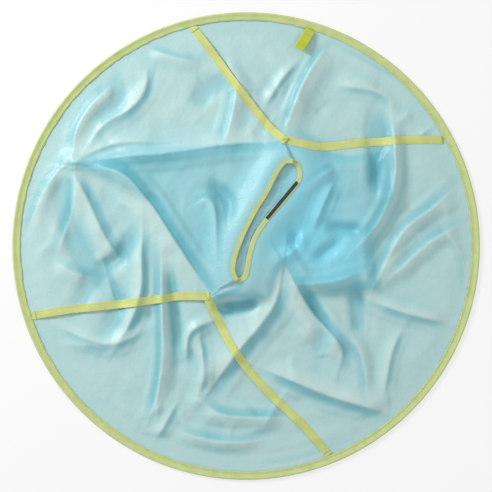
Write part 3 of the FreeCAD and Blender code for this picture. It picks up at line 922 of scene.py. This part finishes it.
# %% A strip bent along a line
def lay_strip(line, profile, height, rib_step=4 * MM, lift=None):
    """A grid laid along a plan line. profile lists (offset to the left, height over the cloth)."""
    steps = np.hypot(*np.diff(line, axis=0).T)
    run = np.concatenate([[0], np.cumsum(steps)])
    rows = max(2, int(run[-1] / rib_step))
    bm = bmesh.new()
    bmesh.ops.create_grid(bm, x_segments=rows, y_segments=len(profile) - 1, size=1)
    uv = bm.loops.layers.uv.new("tape")
    share = np.array([(v.co.x + 1) / 2 for v in bm.verts])
    column = np.array([int(round((v.co.y + 1) / 2 * (len(profile) - 1))) for v in bm.verts])
    s = share * run[-1]
    x, y = np.interp(s, run, line[:, 0]), np.interp(s, run, line[:, 1])
    ahead, behind = np.clip(s + 5 * MM, 0, run[-1]), np.clip(s - 5 * MM, 0, run[-1])
    way_x = np.interp(ahead, run, line[:, 0]) - np.interp(behind, run, line[:, 0])
    way_y = np.interp(ahead, run, line[:, 1]) - np.interp(behind, run, line[:, 1])
    length = np.hypot(way_x, way_y)
    offset = np.array([p[0] for p in profile])[column]
    rise = np.array([p[1] for p in profile])[column]
    x, y = x - way_y / length * offset, y + way_x / length * offset
    z = height(np.column_stack([x, y])) + rise
    if lift is not None:
        z = z + lift(s)
    across = np.concatenate([[0], np.cumsum(np.hypot(*np.diff(np.array(profile), axis=0).T))])[column]
    for i, v in enumerate(bm.verts):
        v.co = (x[i], y[i], z[i])
        v.index = i
    for face in bm.faces:
        for loop in face.loops:
            loop[uv].uv = (s[loop.vert.index], across[loop.vert.index])
    return bm


def folded(width, fold_side, gap=TAPE_GAP):
    """The cross-section of a tape folded over an edge, from the upper leg's edge round to the lower's."""
    half = width / 2
    upper = [(half - t * (width - gap), gap) for t in (0, 0.04, 0.25, 0.5, 0.75, 0.97)]
    bend = [(-half + gap * (0.3 - 0.3 * math.cos(a)), gap * math.sin(a)) for a in (0.9, 0, -0.9)]
    lower = [(x, -gap) for x, _ in reversed(upper)]
    return [(x * fold_side, z) for x, z in upper + bend + lower]

# %% Arm bindings
FOLD_SIDE = {("right", "back"): 1, ("right", "front"): -1, ("left", "back"): -1, ("left", "front"): 1}
TAPE_STOP = RIM_INNER + 1 * MM


def inside_rim(line, limit=TAPE_STOP):
    return line[np.hypot(line[:, 0], line[:, 1]) < limit]


def from_before_tip(line, extra=6 * MM):
    """The line with a short straight piece before its tip, for the crossed ends of two tapes."""
    way = line[0] - line[2]
    return np.vstack([line[0] + way / np.hypot(*way) * extra, line])


arm_tapes = {}
for (side, half), line in arm_lines.items():
    fold = FOLD_SIDE[side, half]
    path = from_before_tip(inside_rim(line))
    height = back_height if half == "back" else front_height
    over = 1.3 * MM if half == "back" else 0.0
    bm = lay_strip(path, folded(ARM_TAPE, fold), height,
                   lift=lambda s: over * smooth(1 - (s - 14 * MM) / (26 * MM)))
    tape = finish_piece(f"{side}_arm_tape_{half}", bm, arm_tape, thickness=TAPE_THICKNESS)
    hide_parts(f"{side}_arm_binding_{half}")
    follow_neck(tape)
    arm_tapes[side, half] = tape
print("arm tapes:", len(arm_tapes))

# %% Rows of stitches
def sew_row(line, offset, height, rise, pitch=3.4 * MM, stitch=2.3 * MM, thread=0.42 * MM, keep=None):
    """Short stitches along a line: each one is a small rounded bar lying on the cloth."""
    steps = np.hypot(*np.diff(line, axis=0).T)
    run = np.concatenate([[0], np.cumsum(steps)])
    s = np.arange(pitch / 2, run[-1], pitch)
    middle = np.column_stack([np.interp(s, run, line[:, k]) for k in (0, 1)])
    way = np.column_stack([np.interp(s + 2 * MM, run, line[:, k]) - np.interp(s - 2 * MM, run, line[:, k])
                           for k in (0, 1)])
    way /= np.hypot(*way.T)[:, None]
    middle = middle + np.column_stack([-way[:, 1], way[:, 0]]) * offset
    z = height(middle)
    ahead = height(middle + way * stitch / 2)
    behind = height(middle - way * stitch / 2)
    shown = np.ones(len(s), bool) if keep is None else keep(middle)
    bm = bmesh.new()
    for (x, y), (a, b), level, front, back in zip(middle[shown], way[shown], z[shown], ahead[shown],
                                                  behind[shown]):
        along = Vector((a * stitch, b * stitch, front - back)).normalized()
        side = Vector((-b, a, 0))
        top = along.cross(side)
        turn = Matrix((along * stitch / 2, side * thread, top * thread * 0.55)).transposed().to_4x4()
        turn.translation = (x, y, level + rise)
        bmesh.ops.create_icosphere(bm, subdivisions=1, radius=1, matrix=turn)
    return bm

# %% Arm stitching
for (side, half), line in arm_lines.items():
    height = back_height if half == "back" else front_height
    over = 1.3 * MM if half == "back" else 0.0
    rows = sew_row(inside_rim(line), FOLD_SIDE[side, half] * (ARM_TAPE / 2 - 2.4 * MM), height,
                   TAPE_GAP + TAPE_THICKNESS / 2 + 0.1 * MM)
    if half == "back":
        for v in rows.verts:
            v.co.z += over * float(smooth(1 - (math.dist(v.co[:2], line[0]) - 8 * MM) / (26 * MM)))
    row = finish_piece(f"{side}_arm_stitches_{half}", rows, green_thread)
    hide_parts(f"{side}_arm_stitching_{half}")
    follow_neck(row)
print("arm stitching sewn")

# %% [markdown]
# ## The rim
#
# The hoop runs in a channel of wider tape. The tape goes round the wire and closes over the edge of the
# cloth, and one row of stitches holds it. Its section is spun round the middle, and then its inner edge is
# drawn in and out a little, because a straight tape sewn to a round edge always gathers.

# %% Rim binding
WIRE_MIDDLE = RIM_HEIGHT / 2
TUBE = WIRE_MIDDLE - TAPE_THICKNESS / 2
tube_centre = HOOP_RADIUS - WIRE_MIDDLE
section = [(RIM_INNER, 0.2 * MM), (RIM_INNER + 4 * MM, 0.2 * MM), (RIM_INNER + 8 * MM, 0.2 * MM)]
section += [(tube_centre + TUBE * math.cos(a), WIRE_MIDDLE + TUBE * math.sin(a))
            for a in np.radians([-90, -60, -30, 0, 30, 60, 90, 120])]
section += [(RIM_INNER + 8.6 * MM, 3.0 * MM), (RIM_INNER + 6.5 * MM, 2.35 * MM),
            (RIM_INNER + 4 * MM, 2.15 * MM), (RIM_INNER + 2 * MM, 2.1 * MM), (RIM_INNER, 2.1 * MM)]
SPIN_STEPS = 540
bm = bmesh.new()
profile = [bm.verts.new((radius, 0, z)) for radius, z in section]
edges = [bm.edges.new(pair) for pair in zip(profile[:-1], profile[1:])]
bmesh.ops.spin(bm, geom=profile + edges, cent=(0, 0, 0), axis=(0, 0, 1), angle=2 * math.pi,
               steps=SPIN_STEPS, use_merge=True)
bmesh.ops.recalc_face_normals(bm, faces=bm.faces)
uv = bm.loops.layers.uv.new("tape")
reach = np.concatenate([[0], np.cumsum(np.hypot(*np.diff(np.array(section), axis=0).T))])
for v in bm.verts:
    turn = math.atan2(v.co.y, v.co.x)
    radius = math.hypot(v.co.x, v.co.y)
    inner = max(0.0, 1 - (radius - RIM_INNER) / (7 * MM))
    gather = noise.noise(Vector((math.cos(turn), math.sin(turn), 0)) * 17) \
        + 0.7 * noise.noise(Vector((math.cos(turn), math.sin(turn), 3)) * 46)
    radius += 0.9 * MM * gather * inner
    upper = 1.0 if v.co.z > 1.5 * MM else 0.0
    v.co.x, v.co.y = radius * math.cos(turn), radius * math.sin(turn)
    v.co.z += upper * inner * 0.35 * MM * (1 + math.sin(turn * 97 + 3 * math.sin(turn * 13)))
for face in bm.faces:
    middle = math.atan2(face.calc_center_median().y, face.calc_center_median().x)
    for loop in face.loops:
        turn = math.atan2(loop.vert.co.y, loop.vert.co.x)
        turn += 2 * math.pi * round((middle - turn) / (2 * math.pi))
        radius = math.hypot(loop.vert.co.x, loop.vert.co.y)
        loop[uv].uv = (turn * HOOP_RADIUS, radius + loop.vert.co.z)
rim_binding = finish_piece("rim_tape_channel", bm, rim_tape, body="hoop", thickness=TAPE_THICKNESS)
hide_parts("rim_binding")


def flat_height(level):
    return lambda points: np.full(len(points), level)


stitch_turns = np.linspace(0, 2 * math.pi, 1441)
stitch_circle = np.column_stack([np.cos(stitch_turns), np.sin(stitch_turns)]) * (RIM_INNER + 2.6 * MM)
bm = sew_row(stitch_circle, 0, flat_height(2.1 * MM), TAPE_THICKNESS / 2 + 0.55 * MM, pitch=4.2 * MM,
             stitch=2.9 * MM)
rim_stitches = finish_piece("rim_stitches", bm, green_thread, body="hoop")
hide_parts("rim_stitching")
print("rim tape faces:", len(rim_binding.data.polygons))

# %% [markdown]
# ## The neck
#
# The slot's two long edges are bound like the arm openings, with a narrower tape. The front edge keeps its
# place, and the back edge is a lip that draws over it to close the neck. The lip ends in the same place as
# the front binding at the slot's closed end, so it can swing about that corner.

# %% Neck and lip bindings
NECK_GAP = 0.62 * MM


def rounded_path(line, extra):
    """A line with a short straight run past each of its ends."""
    first, last = line[0] - line[1], line[-1] - line[-2]
    return np.vstack([line[0] + first / np.hypot(*first) * extra, line,
                      line[-1] + last / np.hypot(*last) * extra])


neck_path = rounded_path(front_neck_line, 3 * MM)
neck = finish_piece("neck_front_tape", lay_strip(neck_path, folded(NECK_TAPE, 1, NECK_GAP), front_height,
                                                 rib_step=2.5 * MM), neck_tape, "neck", TAPE_THICKNESS)
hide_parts("neck_binding")
lip_path = rounded_path(lip_line, 3 * MM)
lip = finish_piece("neck_lip_tape", lay_strip(lip_path, folded(NECK_TAPE, 1, NECK_GAP), back_height,
                                              rib_step=2.5 * MM), neck_tape, "neck_lip", TAPE_THICKNESS)
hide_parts("lip_binding")

# %% Neck stitching
hook_ends = np.array(HOOK_LINE, float) * MM


def off_hook(points):
    return near(points, hook_ends)[0] > 6.5 * MM


NECK_RISE = NECK_GAP + TAPE_THICKNESS / 2 + 0.1 * MM
row = finish_piece("neck_stitches", sew_row(front_neck_line, NECK_TAPE / 2 - 1.8 * MM, front_height,
                                            NECK_RISE, keep=off_hook), green_thread, "neck")
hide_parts("neck_stitching")
row = finish_piece("lip_stitches", sew_row(lip_line, NECK_TAPE / 2 - 1.8 * MM, back_height, NECK_RISE),
                   green_thread, "neck_lip")
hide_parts("lip_stitching")
print("neck stitching sewn")

# %% [markdown]
# ## Hook and loop
#
# The dark strip on the front edge is the hook half of a sew-on closure: a stiff nylon tape with rows of
# small hooks. Its soft half is sewn under the back edge, where it comes down on the hooks when the neck is
# closed. The hooks are real ones about 0.3 mm wide and 1.5 mm apart, drawn here at 0.5 mm so that they show.

# %% Hook strip
hook_tape, tree = new_material("black_nylon_hook_tape")
place = add(tree, "ShaderNodeTexCoord").outputs["Object"]
grain = add(tree, "ShaderNodeTexVoronoi", {"Scale": 650.0}, Vector=place).outputs["Distance"]
tint = add(tree, "ShaderNodeValToRGB", {"stops": [(0.1, "#0D1A18"), (0.6, "#233A36")]},
           Fac=grain).outputs["Color"]
bump = add(tree, "ShaderNodeBump", {"Strength": 0.6, "Distance": 0.3 * MM}, Height=grain)
shader = add(tree, "ShaderNodeBsdfPrincipled", {"Roughness": 0.42}, Base_Color=tint,
             Normal=bump.outputs["Normal"])
add(tree, "ShaderNodeOutputMaterial", Surface=shader.outputs[0])

loop_tape, tree = new_material("brushed_nylon_loop_tape")
place = add(tree, "ShaderNodeTexCoord").outputs["Object"]
pile = add(tree, "ShaderNodeTexNoise", {"Scale": 700.0, "Detail": 4.0}, Vector=place).outputs["Fac"]
tint = add(tree, "ShaderNodeValToRGB", {"stops": [(0.35, "#14211E"), (0.7, "#34463F")]},
           Fac=pile).outputs["Color"]
bump = add(tree, "ShaderNodeBump", {"Strength": 0.8, "Distance": 0.5 * MM}, Height=pile)
shader = add(tree, "ShaderNodeBsdfPrincipled", {"Roughness": 0.95, "Sheen Weight": 0.4},
             Base_Color=tint, Normal=bump.outputs["Normal"])
add(tree, "ShaderNodeOutputMaterial", Surface=shader.outputs[0])

STRIP_WIDTH = 6 * MM
hook_low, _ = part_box("hook_strip")
loop_low, loop_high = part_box("loop_strip")
hook_way = hook_ends[1] - hook_ends[0]
hook_length = float(np.hypot(*hook_way))
hook_turn = math.atan2(hook_way[1], hook_way[0])
hook_middle = hook_ends.mean(0)


def slab(length, width, low, high, middle, turn, bevel=0.5 * MM):
    """A long flat strip with eased edges, turned and set down on the plan."""
    bm = bmesh.new()
    bmesh.ops.create_cube(bm, size=1)
    bmesh.ops.scale(bm, verts=bm.verts, vec=(length, width, high - low))
    bmesh.ops.bevel(bm, geom=bm.edges[:], offset=bevel, segments=2, profile=0.5, affect="EDGES", material=-1)
    place = Matrix.Translation((middle[0], middle[1], (low + high) / 2)) @ Matrix.Rotation(turn, 4, "Z")
    bmesh.ops.transform(bm, matrix=place, verts=bm.verts)
    return bm, place


bm, place = slab(hook_length, STRIP_WIDTH, hook_low.z, hook_low.z + 0.65 * MM, hook_middle, hook_turn,
                 bevel=0.2 * MM)
HOOK_COUNT, HOOK_ROWS = 46, 4
HOOK_PITCH, HOOK_ROW_GAP = 1.78 * MM, 1.3 * MM
for i in range(HOOK_COUNT):
    for j in range(HOOK_ROWS):
        spot = Vector(((i - (HOOK_COUNT - 1) / 2) * HOOK_PITCH, (j - (HOOK_ROWS - 1) / 2) * HOOK_ROW_GAP,
                       0.5 * MM))
        bmesh.ops.create_cone(bm, segments=5, radius1=0.45 * MM, radius2=0.25 * MM, depth=0.6 * MM,
                              cap_ends=True, matrix=place @ Matrix.Translation(spot))
hooks = finish_piece("neck_hook_strip", bm, hook_tape, "neck", smooth_faces=False)
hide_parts("hook_strip")

soft_middle = Vector(((loop_low.x + loop_high.x) / 2, (loop_low.y + loop_high.y) / 2))
close_joint = next(j for j in frame["joints"] if j["name"] == "neck_close")
close_limit = math.radians(max(abs(v) for v in close_joint["range_deg"]))
bm, _ = slab(hook_length, STRIP_WIDTH, loop_low.z, loop_high.z, soft_middle, hook_turn + close_limit)
loops = finish_piece("lip_loop_strip", bm, loop_tape, "neck_lip")
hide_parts("loop_strip")


def strip_frame(middle, turn):
    """The plan line of the stitches round a strip, 1 mm inside its edge."""
    half_l, half_w = hook_length / 2 - 1 * MM, STRIP_WIDTH / 2 - 1 * MM
    corners = [(-half_l, -half_w), (half_l, -half_w), (half_l, half_w), (-half_l, half_w),
               (-half_l, -half_w)]
    way = np.array([(math.cos(turn), math.sin(turn)), (-math.sin(turn), math.cos(turn))])
    return np.array(corners) @ way + np.array(middle)


row = finish_piece("hook_strip_stitches", sew_row(
    strip_frame(hook_middle, hook_turn), 0, flat_height(hook_low.z + 0.65 * MM), 0.1 * MM,
    pitch=3 * MM, stitch=2.2 * MM), dark_thread, "neck")
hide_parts("hook_strip_stitching")
row = finish_piece("loop_strip_stitches", sew_row(
    strip_frame(soft_middle, hook_turn + close_limit), 0, flat_height(LIP_LEVEL), NECK_RISE,
    pitch=3 * MM, stitch=2.2 * MM, keep=lambda p: near(p, lip_line)[0] < NECK_TAPE / 2 - 0.6 * MM),
    green_thread, "neck_lip")
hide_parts("loop_strip_stitching")
print("strip", round(hook_length * 1000, 1), "mm; closes by", round(math.degrees(close_limit), 1), "degrees")

# %% [markdown]
# ## Under the neck
#
# A soft placket of the same cloth hangs below the slot, so that the closed neck doesn't scratch. It is slack
# and lies in a few folds. Behind the lip, a second slack fold joins the lip to the back panel: it lies
# hidden under the panel.

# %% Placket and lip fold
PLACKET_FOLDS = [([(-40, 4), (0, 0), (60, 6), (120, -6)], 4, 10, 7, 0.4, 0.3),
                 ([(150, -2), (110, -12), (70, -4), (20, 6)], 3.5, 8, 8, 0.3, 0.1),
                 ([(60, 14), (72, 2), (80, -14)], 3.5, 9, 9, 0.6, 0.4),
                 ([(-8, 10), (4, 0), (8, -12)], 3, 8, 9, 0.6, 0.4),
                 ([(120, 8), (132, -10), (136, -28)], 3, 8, 10, 0.5, 0.4),
                 ([(30, 12), (38, 2), (36, -8)], 2.5, 7, 8, 0.6, 0.4)]
placket_lines = [(curve_through(fold[0], 6 * MM),) + fold[1:] for fold in PLACKET_FOLDS]


def placket_height(points):
    level = np.full(len(points), NECK_LEVEL - 2.6 * MM)
    for line, height, left, right_reach, start, end in placket_lines:
        distance, side, along = near(points, line)
        width = np.where(side > 0, left, right_reach) * MM
        share = (np.sqrt(distance ** 2 + (0.8 * MM) ** 2) - 0.8 * MM) / width
        swell = np.minimum(start + (1 - start) * smooth(along / 0.3),
                           end + (1 - end) * smooth((1 - along) / 0.3))
        level += 0.5 * height * MM * swell * np.clip(1 - share, 0, 1) ** 1.3
    edge = near(points, slot_closed)[0] * np.where(within(points, slot_line), 1, -1)
    return level + (NECK_LEVEL - 1.5 * MM - level) * smooth((4 * MM - edge) / (9 * MM))


def on_placket(points):
    return within(points, slot_line) | (near(points, slot_closed)[0] < 4.5 * MM)


placket = finish_piece("neck_placket", cut_panel(on_placket, [], placket_height, centre=(55 * MM, -10 * MM),
                                                 half=150 * MM, step=1.5 * MM), taffeta,
                       thickness=CLOTH_THICKNESS)
# painted light: the placket is painted 0.12 paler than the panels, against the shade it lies in under the
# neck
paint_light_and_shade(placket, -0.12)
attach(placket, "neck")


def lip_fold_height(points):
    return back_height(points) - 1.15 * MM


def on_lip_fold(points):
    gap = near(points, lip_line)[0]
    return (gap < 62 * MM) & ~within(points, slot_line) & ~within(points, front_half) \
        & (points[:, 0] > -50 * MM) & (points[:, 0] < 170 * MM)


lip_fold = finish_piece("lip_slack_fold", cut_panel(on_lip_fold, [lip_line], lip_fold_height,
                                                    centre=(55 * MM, 20 * MM), half=150 * MM), taffeta,
                        thickness=CLOTH_THICKNESS)
# painted shade: the lip fold, hidden under the back panel, is painted 0.1 deeper than the panels
paint_light_and_shade(lip_fold, 0.1)
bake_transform(lip_fold)
print("placket faces", len(placket.data.polygons))

# %% [markdown]
# ## Seams and bar tacks
#
# Short seams join the two main panels from the slot's ends to the tips of the arm openings. The seam
# allowance is pressed flat and topstitched, so it shows as a narrow ribbon of the same cloth. A bar tack, a
# dense little block of zigzag stitches, strengthens each tip and each end of the arm tapes.

# %% Shoulder seams
seam_cloth = taffeta
for side, slot_end, tip in (("right", SLOT_RIGHT, RIGHT_TIP), ("left", SLOT_LEFT, LEFT_TIP)):
    ends = np.array([slot_end, tip], float) * MM
    way = (ends[1] - ends[0]) / np.hypot(*(ends[1] - ends[0]))
    path = np.array([ends[0] + way * 3 * MM, (ends[0] + ends[1]) / 2, ends[1] - way * 4 * MM])
    back_side = 1 if side == "right" else -1
    across = [(back_side * t * 3.2 * MM, 0) for t in (-1, -0.6, -0.2, 0.2, 0.6, 1)]

    def seam_height(points, path=path, back_side=back_side):
        gap, left, _ = near(points, path)
        share = smooth(0.5 + 0.5 * gap * left * back_side / (3.2 * MM))
        low, high = front_height(points), back_height(points)
        return low + (high - low) * share + 0.35 * MM

    ribbon = finish_piece(f"{side}_shoulder_ribbon", lay_strip(path, across, seam_height), seam_cloth,
                          "neck", TAPE_THICKNESS)
    # painted shade: the seam ribbon is painted 0.05 deeper than the panels
    paint_light_and_shade(ribbon, 0.05)
    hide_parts(f"{side}_shoulder_seam")
    row = finish_piece(f"{side}_shoulder_stitches", sew_row(
        path, back_side * 1.8 * MM, seam_height, TAPE_THICKNESS, thread=0.3 * MM), aqua_thread, "neck")
print("seams sewn")

# %% Bar tacks
def bar_tack(places, length, width, height, level):
    """Blocks of zigzag stitches: (middle, direction) on the plan."""
    bm = bmesh.new()
    for (x, y), (a, b) in places:
        count = max(4, int(length / (0.9 * MM)))
        for i in range(count):
            t = (i + 0.5) / count - 0.5
            spot = (x + a * t * length, y + b * t * length)
            lean = 0.22 if i % 2 else -0.22
            along = Vector((-b + lean * a, a + lean * b, 0)).normalized()
            side = Vector((0, 0, 1)).cross(along)
            z = float(height(np.array([spot]))[0]) + level
            turn = Matrix((along * width / 2, side * 0.42 * MM, Vector((0, 0, 0.3 * MM)))).transposed()
            turn = turn.to_4x4()
            turn.translation = (*spot, z)
            bmesh.ops.create_icosphere(bm, subdivisions=1, radius=1, matrix=turn)
    return bm


for side, tip, slot_end in (("right", RIGHT_TIP, SLOT_RIGHT), ("left", LEFT_TIP, SLOT_LEFT)):
    inward = np.array(slot_end, float) - np.array(tip, float)
    inward /= np.hypot(*inward)
    places = [(np.array(tip) * MM, (-inward[1], inward[0]))]
    tack = finish_piece(f"{side}_tip_bar_tack", bar_tack(places, 14 * MM, 3 * MM, back_height, 2.5 * MM),
                        green_thread, "neck")
    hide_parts(f"{side}_tip_tack")

places = []
for line in arm_lines.values():
    path = inside_rim(line, RIM_INNER - 4 * MM)
    way = path[-1] - path[-3]
    way /= np.hypot(*way)
    places.append((path[-1], (-way[1], way[0])))
tack = finish_piece("arm_end_bar_tacks", bar_tack(places, 14 * MM, 3 * MM, front_height, 1.1 * MM),
                    green_thread, "hoop")
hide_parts("arm_end_tacks")
print("bar tacks:", len(places) + 2)

# %% [markdown]
# ## The packing loop
#
# When the hoop is twisted into a small coil, this loop of webbing holds it shut. It is one length of
# webbing folded back on itself. Its two ends are sewn down at the rim and a bar tack closes it into an eye.
# It lies over the cloth, and swings out about the line where it is sewn.

# %% Packing loop
webbing = tape_material("yellow_green_polyester_webbing", "#A3B42E", "#C3D044", rib=1.4 * MM, roughness=0.6)
LOOP_PIVOT = Vector((405, 60, 0)) * MM
LOOP_LENGTH = 42 * MM
LOOP_WIDTH = 19 * MM
LOOP_TURN = math.radians(-5.6)
LOOP_TILT = math.radians(12)
pivot_level = 4.3 * MM
half_gap = 0.78 * MM
section = [(0, -half_gap), (-10 * MM, -half_gap), (-20 * MM, -1.2 * MM), (-30 * MM, -1.3 * MM),
           (-LOOP_LENGTH + 3 * MM, -1.2 * MM)]
section += [(-LOOP_LENGTH + 1.9 * MM + 1.35 * MM * math.cos(a), 1.25 * MM * math.sin(a))
            for a in np.radians([-120, -150, 180, 150, 120])]
section += [(x, -z) for x, z in reversed(section[:5])]
bm = bmesh.new()
bmesh.ops.create_grid(bm, x_segments=len(section) - 1, y_segments=8, size=1)
uv = bm.loops.layers.uv.new("tape")
length = np.concatenate([[0], np.cumsum(np.hypot(*np.diff(np.array(section), axis=0).T))])
for v in bm.verts:
    column = int(round((v.co.x + 1) / 2 * (len(section) - 1)))
    x, z = section[column]
    v.index = column
    v.co = (x, v.co.y * LOOP_WIDTH / 2, z)
bm.faces.ensure_lookup_table()
for face in bm.faces:
    for loop in face.loops:
        loop[uv].uv = (length[loop.vert.index], loop.vert.co.y)
place = Matrix.Translation(LOOP_PIVOT + Vector((0, 0, pivot_level))) @ Matrix.Rotation(LOOP_TURN, 4, "Z") \
    @ Matrix.Rotation(LOOP_TILT, 4, "Y")
bmesh.ops.transform(bm, matrix=place, verts=bm.verts)
loop = finish_piece("packing_loop_webbing", bm, webbing, thickness=0.85 * MM)
bevel = loop.modifiers.new("edges", "BEVEL")
bevel.width = 0.15 * MM
bevel.segments = 1
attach(loop, "loop")
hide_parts("packing_loop")

bm = bmesh.new()
for i in range(14):
    lean = 0.2 if i % 2 else -0.2
    along = Vector((1, lean, 0)).normalized()
    side = Vector((0, 0, 1)).cross(along)
    turn = Matrix((along * 1.6 * MM, side * 0.42 * MM, Vector((0, 0, 0.3 * MM)))).transposed().to_4x4()
    turn.translation = (-10.5 * MM, (i - 6.5) * MM, half_gap + 0.5 * MM)
    bmesh.ops.create_icosphere(bm, subdivisions=1, radius=1, matrix=place @ turn)
tack = finish_piece("packing_loop_bar_tack", bm, green_thread, "loop")
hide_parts("packing_loop_tack")

# %% [markdown]
# ## The hoop inside its channel
#
# The wire, its crimped joining tube and the shrunk sleeve over it are hidden in the tape. They keep the
# shapes of the frame and take the finishes they have before they are sewn in.

# %% Hidden hardware
spring_steel, tree = new_material("drawn_spring_steel_wire")
place = add(tree, "ShaderNodeTexCoord").outputs["Object"]
draw = add(tree, "ShaderNodeTexNoise", {"Scale": 400.0, "Detail": 2.0}, Vector=place).outputs["Fac"]
tint = add(tree, "ShaderNodeValToRGB", {"stops": [(0.3, "#8E9296"), (0.7, "#B4B8BB")]},
           Fac=draw).outputs["Color"]
rough = add(tree, "ShaderNodeMapRange", {"To Min": 0.25, "To Max": 0.42}, Value=draw).outputs[0]
shader = add(tree, "ShaderNodeBsdfPrincipled", {"Metallic": 1.0}, Base_Color=tint, Roughness=rough)
add(tree, "ShaderNodeOutputMaterial", Surface=shader.outputs[0])

crimped_steel, tree = new_material("zinc_plated_crimped_tube")
place = add(tree, "ShaderNodeTexCoord").outputs["Object"]
spangle = add(tree, "ShaderNodeTexVoronoi", {"Scale": 500.0}, Vector=place).outputs["Distance"]
tint = add(tree, "ShaderNodeValToRGB", {"stops": [(0.1, "#A9AEB2"), (0.7, "#CDD1D3")]},
           Fac=spangle).outputs["Color"]
shader = add(tree, "ShaderNodeBsdfPrincipled", {"Metallic": 1.0, "Roughness": 0.4}, Base_Color=tint)
add(tree, "ShaderNodeOutputMaterial", Surface=shader.outputs[0])

shrunk_sleeve, tree = new_material("shrunk_polyolefin_sleeve")
place = add(tree, "ShaderNodeTexCoord").outputs["Object"]
skin = add(tree, "ShaderNodeTexNoise", {"Scale": 300.0, "Detail": 2.0}, Vector=place).outputs["Fac"]
tint = add(tree, "ShaderNodeValToRGB", {"stops": [(0.3, "#1A1C1E"), (0.7, "#2A2D30")]},
           Fac=skin).outputs["Color"]
bump = add(tree, "ShaderNodeBump", {"Strength": 0.2, "Distance": 0.1 * MM}, Height=skin)
shader = add(tree, "ShaderNodeBsdfPrincipled", {"Roughness": 0.45}, Base_Color=tint,
             Normal=bump.outputs["Normal"])
add(tree, "ShaderNodeOutputMaterial", Surface=shader.outputs[0])

for node, material in (("hoop_wire", spring_steel), ("hoop_ferrule", crimped_steel),
                       ("hoop_sleeve", shrunk_sleeve), ("packing_loop_anchor", webbing)):
    mesh = frame["nodes"][node].data
    mesh.materials.clear()
    mesh.materials.append(material)
print("hardware finished")

# %% [markdown]
# ## Cloth areas
#
# For each sheet, the points of a 2 mm grid that lie on it are picked out, and nothing more is done with
# them.


def declare_sheet(keep):
    cell = 2 * MM
    line = np.arange(-0.43, 0.43, cell)
    x, y = np.meshgrid(line, line)
    points = np.column_stack([x.ravel(), y.ravel()])
    points = points[keep(points)]


declare_sheet(lambda p: on_main(p) & within(p, front_half))
declare_sheet(lambda p: on_main(p) & ~within(p, front_half))
for side, panel in side_panels.items():
    declare_sheet(side_areas[side])
declare_sheet(on_placket)
declare_sheet(on_lip_fold)
